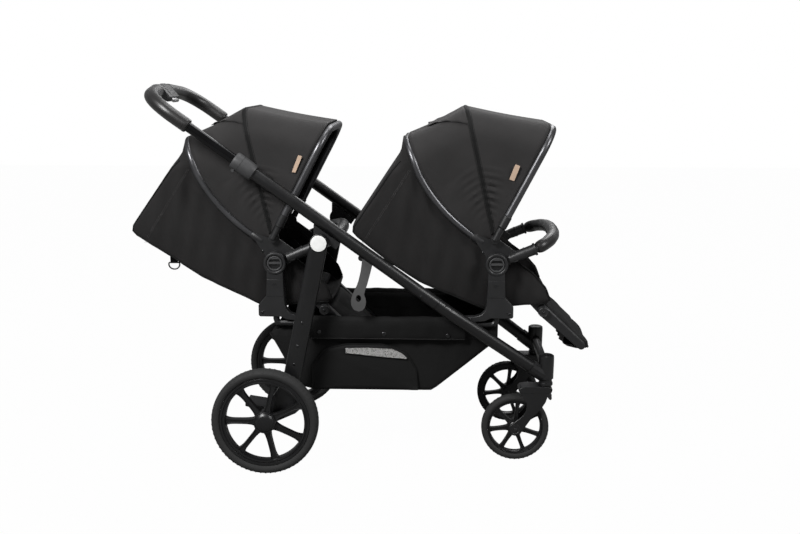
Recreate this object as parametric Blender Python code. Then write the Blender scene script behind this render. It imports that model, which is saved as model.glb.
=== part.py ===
"""Double stroller: a tandem frame with two equal seat units, one behind the other.

Metres, +Z up, +X forward. The stroller's right side is at negative Y.
Side-view places are (x, z) pairs. The finished model stands on z = 0, and the
middle of its overall length lies on the origin.
"""
import math

import bmesh
import bpy
from mathutils import Matrix, Vector

# Clearances
TOUCH = 0.0003
RUNNING = 0.0004
SWING = 0.0006

# Wheels
REAR_WHEEL_RADIUS = 0.145
REAR_TYRE_WIDTH = 0.041
REAR_TYRE_DEPTH = 0.022
REAR_RIM_DEPTH = 0.015
REAR_HUB_RADIUS = 0.030
REAR_HUB_WIDTH = 0.048
REAR_AXLE_X = -0.300
FRONT_WHEEL_RADIUS = 0.094
FRONT_TYRE_WIDTH = 0.030
FRONT_TYRE_DEPTH = 0.017
FRONT_RIM_DEPTH = 0.0065
FRONT_HUB_RADIUS = 0.016
FRONT_HUB_WIDTH = 0.034
FRONT_TRACK = 0.330
SPOKES = 7
SPOKE_WIDTH = 0.013
WHEEL_SIDES = 36

# Main tubes
SWIVEL_X = 0.4635
HOUSING_BOTTOM = 0.2170
TUBE_ANGLE = math.radians(35.7)
TUBE_END_RISE = 0.0234
TUBE_HEIGHT = HOUSING_BOTTOM + TUBE_END_RISE + math.tan(TUBE_ANGLE) * SWIVEL_X
TUBE_RADIUS = 0.0165
TUBE_WALL = 0.0025
TUBE_SIDES = 12
TUBE_TRACK = 0.460
TUBE_TOP_X = -0.386
TUBE_BEND_X = 0.200
TUBE_BORE_DEPTH = 0.285
COLLAR_LENGTH = 0.092
COLLAR_RADIUS = 0.0222
COLLAR_LIP = 0.008

# Handle
HANDLE_OVERLAP = 0.150
HANDLE_TUBE_RADIUS = TUBE_RADIUS - TUBE_WALL - RUNNING
HANDLE_CORNER_X = -0.599
HANDLE_CORNER_DROP = 0.0009
HANDLE_CORNER_PLACE = (
    HANDLE_CORNER_X, TUBE_HEIGHT - math.tan(TUBE_ANGLE) * HANDLE_CORNER_X - HANDLE_CORNER_DROP
)
HANDLE_BAR = (HANDLE_CORNER_PLACE[0] - 0.023, HANDLE_CORNER_PLACE[1] + 0.015)
HANDLE_CORNER_RADIUS = 0.095
GRIP_RADIUS = 0.0193
GRIP_START_X = -0.495
HOUSING_HALF_WIDTH = 0.050
HOUSING_REACH = 0.040
HOUSING_NOSE = 0.009
LEVER_HALF_WIDTH = 0.026
LEVER_HALF_THICKNESS = 0.005
LEVER_LENGTH = 0.018
LEVER_SHOWS = 0.010
LEVER_TRAVEL = 0.005

# Caster housings and forks
HOUSING_RADIUS = 0.0175
HOUSING_TOP = HOUSING_BOTTOM + 0.083
CASTER_TRAIL = 0.0825
FRONT_AXLE_X = SWIVEL_X - CASTER_TRAIL
SOCKET_LENGTH = 0.056
SOCKET_WALL = 0.0035
CROSS_TUBE_RADIUS = 0.0125
CROSS_TUBE_Z = 0.262
CROSS_SOCKET_LENGTH = 0.030
STEM_RADIUS = 0.0060
STEM_LENGTH = 0.030
FORK_PLATE_BACK = FRONT_AXLE_X + 0.006
FORK_PLATE_FRONT = SWIVEL_X + 0.0175
FORK_PLATE_DEPTH = 0.019
FORK_PLATE_WIDTH = 0.054
FORK_ARM_THICKNESS = 0.0065
FORK_EYE_RADIUS = 0.019
FORK_CRANK = ((0.004, 0.024), (0.029, 0.047), (0.031, 0.072))
AXLE_PIN_RADIUS = 0.0040
LOCK_TAB_LENGTH = 0.020
LOCK_TAB_WIDTH = 0.026
LOCK_TAB_DEPTH = 0.022

# Rear frame
LEG_PIVOT_X = -0.152
LEG_PIVOT_DROP = 0.0567
LEG_PIVOT = (LEG_PIVOT_X, TUBE_HEIGHT - math.tan(TUBE_ANGLE) * LEG_PIVOT_X - LEG_PIVOT_DROP)
LEG_FOOT = (-0.2335, 0.2405)
LEG_WIDTH = 0.048
LEG_THICKNESS = 0.026
LEG_CLEARANCE = 0.010
LEG_INNER_Y = TUBE_TRACK / 2 + LEG_CLEARANCE
WHEEL_GAP = 0.0035
REAR_TRACK = 2 * (LEG_INNER_Y + LEG_THICKNESS + WHEEL_GAP) + REAR_HUB_WIDTH
LEG_HEAD_RADIUS = 0.0250
PIVOT_PIN_RADIUS = 0.0080
PIVOT_CAP_RADIUS = 0.0175
PIVOT_CAP_THICKNESS = 0.0030
PIVOT_PLATE_THICKNESS = 0.0165
PIVOT_PLATE_HALF_LENGTH = 0.047
BEAM_RADIUS = 0.0110
SPINDLE_RADIUS = 0.0060
FOOT_EYE_RADIUS = 0.0210
FOOT_TOE_DROP = (0.0682, 0.0822)
PLATE_END_RADIUS = 0.020
PEDAL_MIDDLE_Y = -0.160
PEDAL_WIDTH = 0.080
PEDAL_REACH = 0.072
PEDAL_THICKNESS = 0.007
PEDAL_EYE_RADIUS = 0.0170
PEDAL_ANGLE = math.radians(172.0)

# Lower rails, brackets, cross bars and basket
HUB_Z = 0.560
REAR_HUB_X = -0.280
FRONT_HUB_X = 0.321
CANOPY_CLEARANCE = 0.0295
CANOPY_HALF_WIDTH = TUBE_TRACK / 2 - CANOPY_CLEARANCE
CANOPY_SWELL = 0.025
PLATE_OUTER_Y = CANOPY_HALF_WIDTH - CANOPY_SWELL
BRACKET_INNER_Y = PLATE_OUTER_Y + 0.0005
BRACKET_THICKNESS = 0.028
HUB_RING_RADIUS = 0.031
HUB_HOLE_RADIUS = 0.0215
POST_HALF_WIDTH = 0.0245
POST_BOTTOM = 0.412
RAIL_Y = BRACKET_INNER_Y + 0.012
RAIL_Z = 0.392
RAIL_RADIUS = 0.009
RAIL_CORNER = 0.012
RAIL_BOSS_RADIUS = 0.0075
CROSS_BAR_RADIUS = 0.006
CROSS_BAR_Z = 0.424
CROSS_BAR_REACH = 0.036
BASKET_BOTTOM = 0.195
BASKET_TOP = 0.402
BASKET_WALL = 0.007
BASKET_BACK_X = -0.246
BASKET_FRONT_X = 0.330
BASKET_BACK_CREASE = (-0.198, 0.285)
BASKET_BACK_FOOT_X = -0.188
BASKET_FRONT_FOOT_X = 0.149
BASKET_FRONT_CREASE = (0.245, 0.275)
BASKET_NOSE_Z = 0.345
LUG_REACH = 0.011
LUG_CHAMFER = 0.004
LUG_RISE = 0.014
GUSSET_RISE = 0.048

# Fold strap
STRAP_X = -0.032
STRAP_LENGTH = 0.118
STRAP_WIDTH = 0.026
STRAP_THICKNESS = 0.005
STRAP_HOLE_RADIUS = 0.0070
STRAP_EYE_RADIUS = 0.0185
STRAP_ANGLE = math.radians(-101.0)

# Seat units, with side-view places measured from the seat's hub
PLATE_THICKNESS = 0.0075
PLATE_INNER_Y = PLATE_OUTER_Y - PLATE_THICKNESS
FRAME_Y = PLATE_INNER_Y - 0.003
SHELL_WALL = 0.018
SEAT_PAN_Z = -0.097
FRAME_TUBE_RADIUS = 0.009
SHELL_CLEARANCE = 0.0008
SEAT_HALF_WIDTH = FRAME_Y - FRAME_TUBE_RADIUS - SHELL_CLEARANCE
SPIGOT_RADIUS = 0.0209
CANOPY_HINGE = (-0.006, 0.066)
ARCH_FOOT = (-0.046, 0.062)
ARCH_RADIUS = 0.355
ARCH_ANGLE = math.radians(132.5)
ARCH_BULGE = 0.032
MID_BOW_RADIUS = 0.350
MID_BOW_ANGLE = math.radians(102.5)
FRONT_BOW_RADIUS = 0.331
FRONT_BOW_ANGLE = math.radians(62.5)
BOW_WIRE_RADIUS = 0.0045
BOW_DISC_RADIUS = 0.0115
BOW_FOOT = 0.006
BRIM_RADIUS = 0.0095
BRIM_START = 0.130
BOW_CORNER = 0.075
MID_BOW_Y = PLATE_OUTER_Y + 0.0057
FRONT_BOW_Y = CANOPY_HALF_WIDTH - 0.010
CANOPY_WALL = 0.004
CANOPY_GAP = 0.0018
CANOPY_OVERHANG = 0.025
CANOPY_SKIRT = 0.055
BUMPER_HINGE = (0.047, 0.020)
BUMPER_ANGLE = math.radians(20.0)
BUMPER_REACH = 0.140
BUMPER_Y = PLATE_OUTER_Y + 0.014
BUMPER_CORNER = 0.090
BUMPER_SOCKET_RADIUS = 0.0125
BUMPER_GRIP_RADIUS = 0.0145
BUMPER_GRIP_START = 0.062
LEGREST_HINGE = (0.131, -0.135)
LEGREST_ANGLE = math.radians(-42.0)
LEGREST_ARM_LENGTH = 0.155
LEGREST_ARM_END_WIDTH = 0.021
LEGREST_EYE_RADIUS = 0.0145
LEGREST_BOARD_LENGTH = 0.182
LEGREST_BOARD_CORNER = 0.075
LEGREST_BOARD_TOP = (0.022, 0.014)
LEGREST_BOARD_UNDER = 0.010
LEGREST_HALF_WIDTH = PLATE_INNER_Y - 0.020
BUTTON_DEPTH = 0.0095
FRONT_BAG_REACH = 0.378
REAR_BAG_REACH = 0.402
BAG_CORNER = ((0.0, 0.088), (-0.004, 0.062))
BAG_UNDER = ((-0.062, -0.118), (0.028, -0.112), (0.112, -0.121))
PAN_FRONT = ((0.125, -0.106), (0.118, -0.090), (0.036, -0.008), (0.006, 0.030))
PAN_BACK_X = -0.066
CAVITY_END_X = 0.170
SIDE_PLATE_RADIUS = 0.026
HINGE_LUG_RADIUS = 0.015
BUMPER_LUG_RADIUS = 0.0125
LEGREST_ARM_START_RADIUS = 0.010
LEGREST_BOARD_START = 0.004

BLACK_PAINT = ("black_paint", (0.020, 0.020, 0.022), 0.35, 0.6)
GLOSS_BLACK = ("gloss_black", (0.016, 0.016, 0.017), 0.22, 0.3)
CHARCOAL = ("charcoal_plastic", (0.030, 0.030, 0.032), 0.55, 0.0)
GREY = ("grey_plastic", (0.090, 0.090, 0.092), 0.50, 0.0)
STEEL = ("bright_steel", (0.520, 0.520, 0.530), 0.30, 1.0)
WHITE = ("white_plastic", (0.800, 0.800, 0.790), 0.45, 0.0)
RUBBER = ("tyre_rubber", (0.018, 0.018, 0.019), 0.80, 0.0)
FABRIC = ("black_fabric", (0.012, 0.012, 0.013), 0.95, 0.0)
GRIP_SKIN = ("grip_leatherette", (0.014, 0.013, 0.013), 0.50, 0.0)


# Small geometry helpers

def at(place, offset):
    """A side-view place moved by a side-view offset."""
    return (place[0] + offset[0], place[1] + offset[1])


def polar(centre, radius, angle):
    """The side-view place at a radius and angle from a centre."""
    return (centre[0] + radius * math.cos(angle), centre[1] + radius * math.sin(angle))


def arc(centre, radius, start, end, steps):
    """Places along an arc, both ends included."""
    turn = (end - start) / steps
    return [polar(centre, radius, start + turn * i) for i in range(steps + 1)]


def tube_z(x):
    """Height of the main tube's middle line at x."""
    return TUBE_HEIGHT - math.tan(TUBE_ANGLE) * x


def tube_y(x):
    """Distance of the main tube's middle line from the middle plane at x."""
    if x <= TUBE_BEND_X:
        return TUBE_TRACK / 2
    share = (x - TUBE_BEND_X) / (SWIVEL_X - TUBE_BEND_X)
    return TUBE_TRACK / 2 + share * (FRONT_TRACK / 2 - TUBE_TRACK / 2)


def tube_point(x, side):
    return Vector((x, side * tube_y(x), tube_z(x)))


def rounded(points, radius, steps=4):
    """A path of straight runs whose inner corners are rounded off."""
    path = [Vector(points[0])]
    for before, corner, after in zip(points, points[1:], points[2:]):
        before, corner, after = Vector(before), Vector(corner), Vector(after)
        back = (before - corner).normalized()
        ahead = (after - corner).normalized()
        half = back.angle(ahead) / 2
        reach = radius / math.tan(half)
        middle = corner + (back + ahead).normalized() * radius / math.sin(half)
        first = corner + back * reach - middle
        last = corner + ahead * reach - middle
        axis = first.cross(last).normalized()
        sweep = first.angle(last)
        for i in range(steps + 1):
            path.append(middle + Matrix.Rotation(sweep * i / steps, 3, axis) @ first)
    path.append(Vector(points[-1]))
    return path


# Mesh makers. Each gives a closed bmesh in world places.

def closed(bm):
    """Removes doubles and points the faces outwards."""
    bmesh.ops.remove_doubles(bm, verts=bm.verts, dist=1e-6)
    bmesh.ops.recalc_face_normals(bm, faces=bm.faces)
    return bm


def skin(rings, wrap=False):
    """A solid through rings of equal size; wrap joins the last ring to the first."""
    bm = bmesh.new()
    made = [[bm.verts.new(point) for point in ring] for ring in rings]
    size = len(made[0])
    pairs = list(zip(made, made[1:]))
    if wrap:
        pairs.append((made[-1], made[0]))
    for first, second in pairs:
        for i in range(size):
            j = (i + 1) % size
            bm.faces.new((first[i], first[j], second[j], second[i]))
    if not wrap:
        bm.faces.new(made[0])
        bm.faces.new(made[-1])
    return closed(bm)


def frames(path):
    """An (across, up) pair of unit vectors at each point of a path, turning as little as it can."""
    ways = []
    for i in range(len(path)):
        before = path[max(i - 1, 0)]
        after = path[min(i + 1, len(path) - 1)]
        ways.append((after - before).normalized())
    across = ways[0].orthogonal().normalized()
    if abs(ways[0].y) < 0.9:
        across = Vector((0, 1, 0))
    result = []
    for way in ways:
        across = (across - way * across.dot(way)).normalized()
        result.append((across, way.cross(across)))
    return result


def section(centre, frame, half_across, half_up, sides, power=1.0):
    """One ring around a path point; a power under 1 squares the oval."""
    ring = []
    for i in range(sides):
        angle = 2 * math.pi * (i + 0.5) / sides
        c, s = math.cos(angle), math.sin(angle)
        a = half_across * math.copysign(abs(c) ** power, c)
        u = half_up * math.copysign(abs(s) ** power, s)
        ring.append(centre + frame[0] * a + frame[1] * u)
    return ring


def swept(path, radii, sides=10):
    """A rod along a path; radii is one radius or one for each point."""
    if not isinstance(radii, (list, tuple)):
        radii = [radii] * len(path)
    turned = frames(path)
    rings = [section(p, f, r, r, sides) for p, f, r in zip(path, turned, radii)]
    return skin(rings)


def pipe(path, turned, outer, inner, sides):
    """An open-ended pipe along a path with its given frames."""
    out_rings = [section(p, f, outer, outer, sides) for p, f in zip(path, turned)]
    in_rings = [section(p, f, inner, inner, sides) for p, f in zip(path, turned)]
    return skin(out_rings + in_rings[::-1], wrap=True)


def cup(path, outer, inner, depth_points, sides):
    """A pipe with a blind bore through its first depth_points path points."""
    turned = frames(path)
    out_rings = [section(p, f, outer, outer, sides) for p, f in zip(path, turned)]
    in_rings = [section(path[i], turned[i], inner, inner, sides) for i in range(depth_points)]
    return skin(in_rings[::-1] + out_rings)


def prism(outline, y_from, y_to):
    """A side-view outline given thickness between two values of y."""
    rings = [[Vector((x, y, z)) for x, z in outline] for y in (y_from, y_to)]
    return skin(rings)


def block(low, high):
    """A box between two corners."""
    outline = [(low[0], low[2]), (high[0], low[2]), (high[0], high[2]), (low[0], high[2])]
    return prism(outline, low[1], high[1])


def cylinder(start, end, radius, sides=16):
    """A round bar between two points; radius is the corner radius."""
    path = [Vector(start), Vector(end)]
    return swept(path, radius, sides)


def turned_ring(profile, centre, sides, start_angle):
    """A profile of (radius, offset along Y) places turned about Y through centre, with no middle."""
    rings = []
    for i in range(sides):
        angle = start_angle + 2 * math.pi * i / sides
        ring = []
        for radius, offset in profile:
            x, z = polar((centre.x, centre.z), radius, angle)
            ring.append(Vector((x, centre.y + offset, z)))
        rings.append(ring)
    return skin(rings, wrap=True)


def mesh_from(bm, name):
    mesh = bpy.data.meshes.new(name)
    bm.to_mesh(mesh)
    bm.free()
    return mesh


def combined(first, others, operation):
    """The first bmesh with the others joined to it or cut from it, by exact Booleans."""
    base = bpy.data.objects.new("work", mesh_from(first, "work"))
    bpy.context.scene.collection.objects.link(base)
    tools = []
    for other in others:
        tool = bpy.data.objects.new("tool", mesh_from(other, "tool"))
        tool.hide_render = True
        tool.display_type = "WIRE"
        bpy.context.scene.collection.objects.link(tool)
        step = base.modifiers.new("step", "BOOLEAN")
        step.operation = operation
        step.solver = "EXACT"
        step.object = tool
        tools.append(tool)
    graph = bpy.context.evaluated_depsgraph_get()
    result = bmesh.new()
    made = base.evaluated_get(graph).to_mesh()
    result.from_mesh(made)
    base.evaluated_get(graph).to_mesh_clear()
    for used in [base] + tools:
        mesh = used.data
        bpy.data.objects.remove(used)
        bpy.data.meshes.remove(mesh)
    return closed(result)


def joined(first, *others):
    return combined(first, others, "UNION")


def cut(first, *others):
    return combined(first, others, "DIFFERENCE")


# Scene building

def start_empty():
    for thing in list(bpy.data.objects):
        bpy.data.objects.remove(thing)


def material_of(look):
    """The shared Principled material of a (name, colour, roughness, metallic) look."""
    name, colour, roughness, metallic = look
    material = bpy.data.materials.get(name)
    if material is None:
        material = bpy.data.materials.new(name)
        material.use_nodes = True
        shader = material.node_tree.nodes["Principled BSDF"]
        shader.inputs["Base Color"].default_value = (*colour, 1)
        shader.inputs["Roughness"].default_value = roughness
        shader.inputs["Metallic"].default_value = metallic
        material.diffuse_color = (*colour, 1)
    return material


bodies = {}


def add_body(name, origin, parent=None):
    """An empty on a moving group's joint axis, or the frame's own empty."""
    empty = bpy.data.objects.new(name + "_axis", None)
    bpy.context.scene.collection.objects.link(empty)
    origin = Vector(origin)
    bodies[name] = (empty, origin)
    if parent is None:
        empty.location = origin
    else:
        empty.parent = bodies[parent][0]
        empty.location = origin - bodies[parent][1]


def add_piece(name, bm, body, look):
    """A named piece of a body, its mesh kept about the body's own origin."""
    empty, origin = bodies[body]
    bmesh.ops.translate(bm, verts=bm.verts, vec=-origin)
    mesh = mesh_from(bm, name)
    mesh.shade_smooth()
    mesh.set_sharp_from_angle(angle=math.radians(40))
    mesh.materials.append(material_of(look))
    piece = bpy.data.objects.new(name, mesh)
    piece.parent = empty
    bpy.context.scene.collection.objects.link(piece)


SIDES = (("right", -1), ("left", 1))


# Frame: main tubes, collars, caster housings

def along_tube(distance):
    """A vector of this length along the main tubes, down to the front."""
    return Vector((math.cos(TUBE_ANGLE), 0, -math.sin(TUBE_ANGLE))) * distance


def main_tube(side):
    top = tube_point(TUBE_TOP_X, side)
    bore_end = top + along_tube(TUBE_BORE_DEPTH)
    end = tube_point(SWIVEL_X - HOUSING_RADIUS - TOUCH, side)
    bend = tube_point(TUBE_BEND_X, side)
    path = [top, bore_end] + rounded([bore_end, bend, end], 0.20, 3)[1:]
    tube = cup(path, TUBE_RADIUS, TUBE_RADIUS - TUBE_WALL, 2, TUBE_SIDES)
    if side < 0:
        tube = joined(tube, strap_lug())
    return tube


def collar(side):
    """The clamp collar at the top of a main tube, stepped down to clear the handle tube."""
    top = tube_point(TUBE_TOP_X, side)
    marks = [-COLLAR_LIP, -TOUCH, COLLAR_LENGTH - COLLAR_LIP]
    path = [top + along_tube(mark) for mark in marks]
    turned = frames(path)
    small = TUBE_RADIUS - TUBE_WALL
    large = TUBE_RADIUS + TOUCH * 2
    profile = [
        (0, small), (0, COLLAR_RADIUS - 0.001), (1, COLLAR_RADIUS), (2, COLLAR_RADIUS - 0.001),
        (2, large), (1, large), (1, small),
    ]
    rings = [section(path[i], turned[i], radius, radius, TUBE_SIDES) for i, radius in profile]
    return skin(rings, wrap=True)


def caster_housing(side):
    y = side * FRONT_TRACK / 2
    barrel = cylinder((SWIVEL_X, y, HOUSING_BOTTOM), (SWIVEL_X, y, HOUSING_TOP), HOUSING_RADIUS)
    tube_end = tube_point(SWIVEL_X, side)
    way = (tube_point(TUBE_BEND_X, side) - tube_end).normalized()
    socket_radius = TUBE_RADIUS + SOCKET_WALL
    socket = cylinder(tube_end, tube_end + way * SOCKET_LENGTH, socket_radius, TUBE_SIDES)
    inner_y = y - side * CROSS_SOCKET_LENGTH
    cross = cylinder(
        (SWIVEL_X, y, CROSS_TUBE_Z), (SWIVEL_X, inner_y, CROSS_TUBE_Z), CROSS_TUBE_RADIUS + 0.003
    )
    body = joined(barrel, socket, cross)
    clear_end = tube_point(SWIVEL_X - HOUSING_RADIUS, side)
    tube_bore = cylinder(
        clear_end, tube_end + way * (SOCKET_LENGTH + 0.01), TUBE_RADIUS + TOUCH, TUBE_SIDES
    )
    cross_bore = cylinder(
        (SWIVEL_X, y - side * HOUSING_RADIUS, CROSS_TUBE_Z),
        (SWIVEL_X, inner_y - side * 0.01, CROSS_TUBE_Z),
        CROSS_TUBE_RADIUS + TOUCH * 2,
    )
    stem_bore = cylinder(
        (SWIVEL_X, y, HOUSING_BOTTOM - 0.01),
        (SWIVEL_X, y, HOUSING_BOTTOM + STEM_LENGTH + RUNNING),
        STEM_RADIUS + RUNNING,
        12,
    )
    return cut(body, tube_bore, cross_bore, stem_bore)


def front_cross_tube():
    reach = FRONT_TRACK / 2 - HOUSING_RADIUS - TOUCH
    return cylinder(
        (SWIVEL_X, -reach, CROSS_TUBE_Z), (SWIVEL_X, reach, CROSS_TUBE_Z), CROSS_TUBE_RADIUS
    )


# Fold strap on the right main tube

def strap_pivot():
    """The strap hangs from a lug far enough under the tube for its round head to turn."""
    drop = TUBE_RADIUS + STRAP_WIDTH / 2 + SWING
    under = Vector((-math.sin(TUBE_ANGLE), -math.cos(TUBE_ANGLE))) * drop
    return (STRAP_X + under.x, tube_z(STRAP_X) + under.y)


def strap_lug():
    pivot = strap_pivot()
    head = arc(pivot, 0.009, -TUBE_ANGLE - math.pi, -TUBE_ANGLE, 6)
    rise = TUBE_RADIUS + STRAP_WIDTH / 2
    up = (math.sin(TUBE_ANGLE) * rise, math.cos(TUBE_ANGLE) * rise)
    outline = head + [at(head[-1], up), at(head[0], up)]
    outer = -TUBE_TRACK / 2 + STRAP_THICKNESS / 2 + TOUCH * 2
    return prism(outline, outer, outer + 0.006)


def fold_strap():
    pivot = strap_pivot()
    eye = polar(pivot, STRAP_LENGTH, STRAP_ANGLE)
    half = STRAP_WIDTH / 2
    head = arc(pivot, half, STRAP_ANGLE + math.pi / 2, STRAP_ANGLE + math.pi * 3 / 2, 6)
    ring = arc(eye, STRAP_EYE_RADIUS, STRAP_ANGLE - 2.2, STRAP_ANGLE + 2.2, 12)
    middle = -TUBE_TRACK / 2
    low, high = middle - STRAP_THICKNESS / 2, middle + STRAP_THICKNESS / 2
    body = prism(head + ring, low, high)
    hole = cylinder((eye[0], low - 0.01, eye[1]), (eye[0], high + 0.01, eye[1]), STRAP_HOLE_RADIUS)
    return cut(body, hole)


# Handle

def handle_path():
    """The handle tube's middle line from inside the right main tube to inside the left one."""
    inside = tube_point(TUBE_TOP_X, -1) + along_tube(HANDLE_OVERLAP)
    start = tube_point(GRIP_START_X, -1)
    corner = (HANDLE_CORNER_PLACE[0], -TUBE_TRACK / 2, HANDLE_CORNER_PLACE[1])
    bar_start = (HANDLE_BAR[0], -HOUSING_HALF_WIDTH - 0.012, HANDLE_BAR[1])
    bar_end = Vector((HANDLE_BAR[0], -HOUSING_HALF_WIDTH - TOUCH, HANDLE_BAR[1]))
    right = [inside] + rounded([start, corner, bar_start], HANDLE_CORNER_RADIUS, 5) + [bar_end]
    left = [Vector((p.x, -p.y, p.z)) for p in reversed(right)]
    return right + left


def handle_tube():
    return swept(handle_path(), HANDLE_TUBE_RADIUS, TUBE_SIDES)


def handle_grip(side):
    """The foam sleeve from the handle's end to the middle housing."""
    path = handle_path()
    turned = frames(path)
    middle = len(path) // 2
    half = slice(1, middle) if side < 0 else slice(middle, -1)
    return pipe(path[half], turned[half], GRIP_RADIUS, HANDLE_TUBE_RADIUS + TOUCH, TUBE_SIDES)


def housing_place(along, up):
    """A side-view place in the middle housing's slope: along it to the front, and up from it."""
    c, s = math.cos(TUBE_ANGLE), math.sin(TUBE_ANGLE)
    return at(HANDLE_BAR, (c * along + s * up, -s * along + c * up))


def lever_housing():
    """The housing around the middle of the handle, with the lever's pocket in its nose."""
    radius = HANDLE_TUBE_RADIUS + 0.004
    first, last = math.radians(60) - TUBE_ANGLE, math.radians(300) - TUBE_ANGLE
    outline = arc(HANDLE_BAR, radius, first, last, 10)
    outline += [
        housing_place(HOUSING_REACH - 0.003, -HOUSING_NOSE),
        housing_place(HOUSING_REACH, -HOUSING_NOSE + 0.002),
        housing_place(HOUSING_REACH, HOUSING_NOSE - 0.002),
        housing_place(HOUSING_REACH - 0.003, HOUSING_NOSE),
    ]
    body = prism(outline, -HOUSING_HALF_WIDTH, HOUSING_HALF_WIDTH)
    bore = swept(handle_path(), HANDLE_TUBE_RADIUS + TOUCH, TUBE_SIDES)
    depth = HOUSING_REACH + LEVER_SHOWS - LEVER_LENGTH - LEVER_TRAVEL - RUNNING
    half = LEVER_HALF_THICKNESS + RUNNING
    pocket = [
        housing_place(depth, -half), housing_place(HOUSING_REACH + 0.01, -half),
        housing_place(HOUSING_REACH + 0.01, half), housing_place(depth, half),
    ]
    width = LEVER_HALF_WIDTH + RUNNING
    return cut(body, bore, prism(pocket, -width, width))


def handle_lever():
    half = LEVER_HALF_THICKNESS
    front = HOUSING_REACH + LEVER_SHOWS
    outline = [
        housing_place(front - LEVER_LENGTH, -half), housing_place(front - 0.003, -half),
        housing_place(front, -half + 0.003), housing_place(front, half - 0.002),
        housing_place(front - 0.002, half), housing_place(front - LEVER_LENGTH, half),
    ]
    return prism(outline, -LEVER_HALF_WIDTH, LEVER_HALF_WIDTH)


# Rear frame

def rear_leg(side):
    """An oval leg with a flat-sided eye around the pivot pin."""
    y = side * (LEG_INNER_Y + LEG_THICKNESS / 2)
    top = Vector((LEG_PIVOT[0], y, LEG_PIVOT[1]))
    foot = Vector((LEG_FOOT[0], y, LEG_FOOT[1]))
    path = [top, top.lerp(foot, 0.5), foot]
    turned = frames(path)
    level = (turned[-1][0], Vector((1, 0, 0)))
    turned[-1] = level
    rings = [
        section(p, f, LEG_THICKNESS / 2 - 0.0005, LEG_WIDTH / 2, 12, 0.75)
        for p, f in zip(path, turned)
    ]
    shaft = skin(rings)
    low, high = sorted((side * LEG_INNER_Y, side * (LEG_INNER_Y + LEG_THICKNESS)))
    eye = cylinder((top.x, low, top.z), (top.x, high, top.z), LEG_HEAD_RADIUS, 20)
    hole = cylinder(
        (top.x, low - 0.01, top.z), (top.x, high + 0.01, top.z), PIVOT_PIN_RADIUS + RUNNING
    )
    return cut(joined(shaft, eye), hole)


def pivot_plate(side):
    """The bracket under the main tube that carries the leg's pivot pin."""
    along = Vector((math.cos(TUBE_ANGLE), -math.sin(TUBE_ANGLE)))
    up = Vector((math.sin(TUBE_ANGLE), math.cos(TUBE_ANGLE)))
    centre = Vector(LEG_PIVOT)
    rise = (tube_z(LEG_PIVOT[0]) - LEG_PIVOT[1]) * math.cos(TUBE_ANGLE) - TUBE_RADIUS - TOUCH
    half = PIVOT_PLATE_HALF_LENGTH
    top_back = centre - along * half * 0.85 + up * rise
    top_front = centre + along * half + up * rise
    low_angle = -TUBE_ANGLE
    round_end = arc(LEG_PIVOT, PLATE_END_RADIUS, low_angle + 0.5, low_angle - math.pi, 8)
    outline = [tuple(top_back), tuple(top_front), tuple(top_front - up * PLATE_END_RADIUS)]
    outline += round_end
    outer = side * (LEG_INNER_Y - SWING)
    inner = outer - side * PIVOT_PLATE_THICKNESS
    low, high = sorted((inner, outer))
    plate = prism(outline, low, high)
    pin_end = side * (LEG_INNER_Y + LEG_THICKNESS)
    pin = cylinder(
        (LEG_PIVOT[0], inner + side * 0.005, LEG_PIVOT[1]),
        (LEG_PIVOT[0], pin_end, LEG_PIVOT[1]),
        PIVOT_PIN_RADIUS,
    )
    return joined(plate, pin)


def pivot_cap(side):
    seat = side * (LEG_INNER_Y + LEG_THICKNESS + TOUCH)
    face = seat + side * PIVOT_CAP_THICKNESS
    return cylinder(
        (LEG_PIVOT[0], seat, LEG_PIVOT[1]), (LEG_PIVOT[0], face, LEG_PIVOT[1]), PIVOT_CAP_RADIUS, 24
    )


def axle_foot(side):
    """The moulded foot from a leg's lower end back to the axle."""
    hub = (REAR_AXLE_X, REAR_WHEEL_RADIUS)
    half = LEG_WIDTH / 2
    seat_z = LEG_FOOT[1] - TOUCH
    toe_x = LEG_FOOT[0] + half
    outline = [
        (LEG_FOOT[0] - half, seat_z),
        (toe_x, seat_z),
        (toe_x + 0.003, seat_z - FOOT_TOE_DROP[0]),
        (toe_x - 0.012, seat_z - FOOT_TOE_DROP[1]),
    ]
    outline += arc(hub, FOOT_EYE_RADIUS, math.radians(-75), math.radians(-225), 7)
    low, high = sorted((side * LEG_INNER_Y, side * (LEG_INNER_Y + LEG_THICKNESS)))
    return prism(outline, low, high)


def axle_beam():
    """The cross tube, both feet and both wheel spindles as one welded axle."""
    outer = LEG_INNER_Y + LEG_THICKNESS / 2
    x, z = REAR_AXLE_X, REAR_WHEEL_RADIUS
    beam = cylinder((x, -outer, z), (x, outer, z), BEAM_RADIUS)
    tip = REAR_TRACK / 2 + REAR_HUB_WIDTH / 2 - 0.007
    spindles = cylinder((x, -tip, z), (x, tip, z), SPINDLE_RADIUS, 12)
    return joined(beam, axle_foot(-1), axle_foot(1), spindles)


def brake_pedal():
    hub = (REAR_AXLE_X, REAR_WHEEL_RADIUS)
    eye = arc(hub, PEDAL_EYE_RADIUS, math.radians(150), math.radians(-160), 14)
    heel = polar(hub, PEDAL_REACH, PEDAL_ANGLE)
    tread = (heel[0], heel[1] + PEDAL_THICKNESS)
    low = PEDAL_MIDDLE_Y - PEDAL_WIDTH / 2
    high = PEDAL_MIDDLE_Y + PEDAL_WIDTH / 2
    body = prism(eye + [heel, tread], low, high)
    bore_radius = BEAM_RADIUS + SWING
    bore = cylinder((hub[0], low - 0.01, hub[1]), (hub[0], high + 0.01, hub[1]), bore_radius)
    return cut(body, bore)


# Wheels

def corner_radius(flat_radius):
    """Corner radius of a wheel polygon whose flats lie at flat_radius."""
    return flat_radius / math.cos(math.pi / WHEEL_SIDES)


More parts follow.
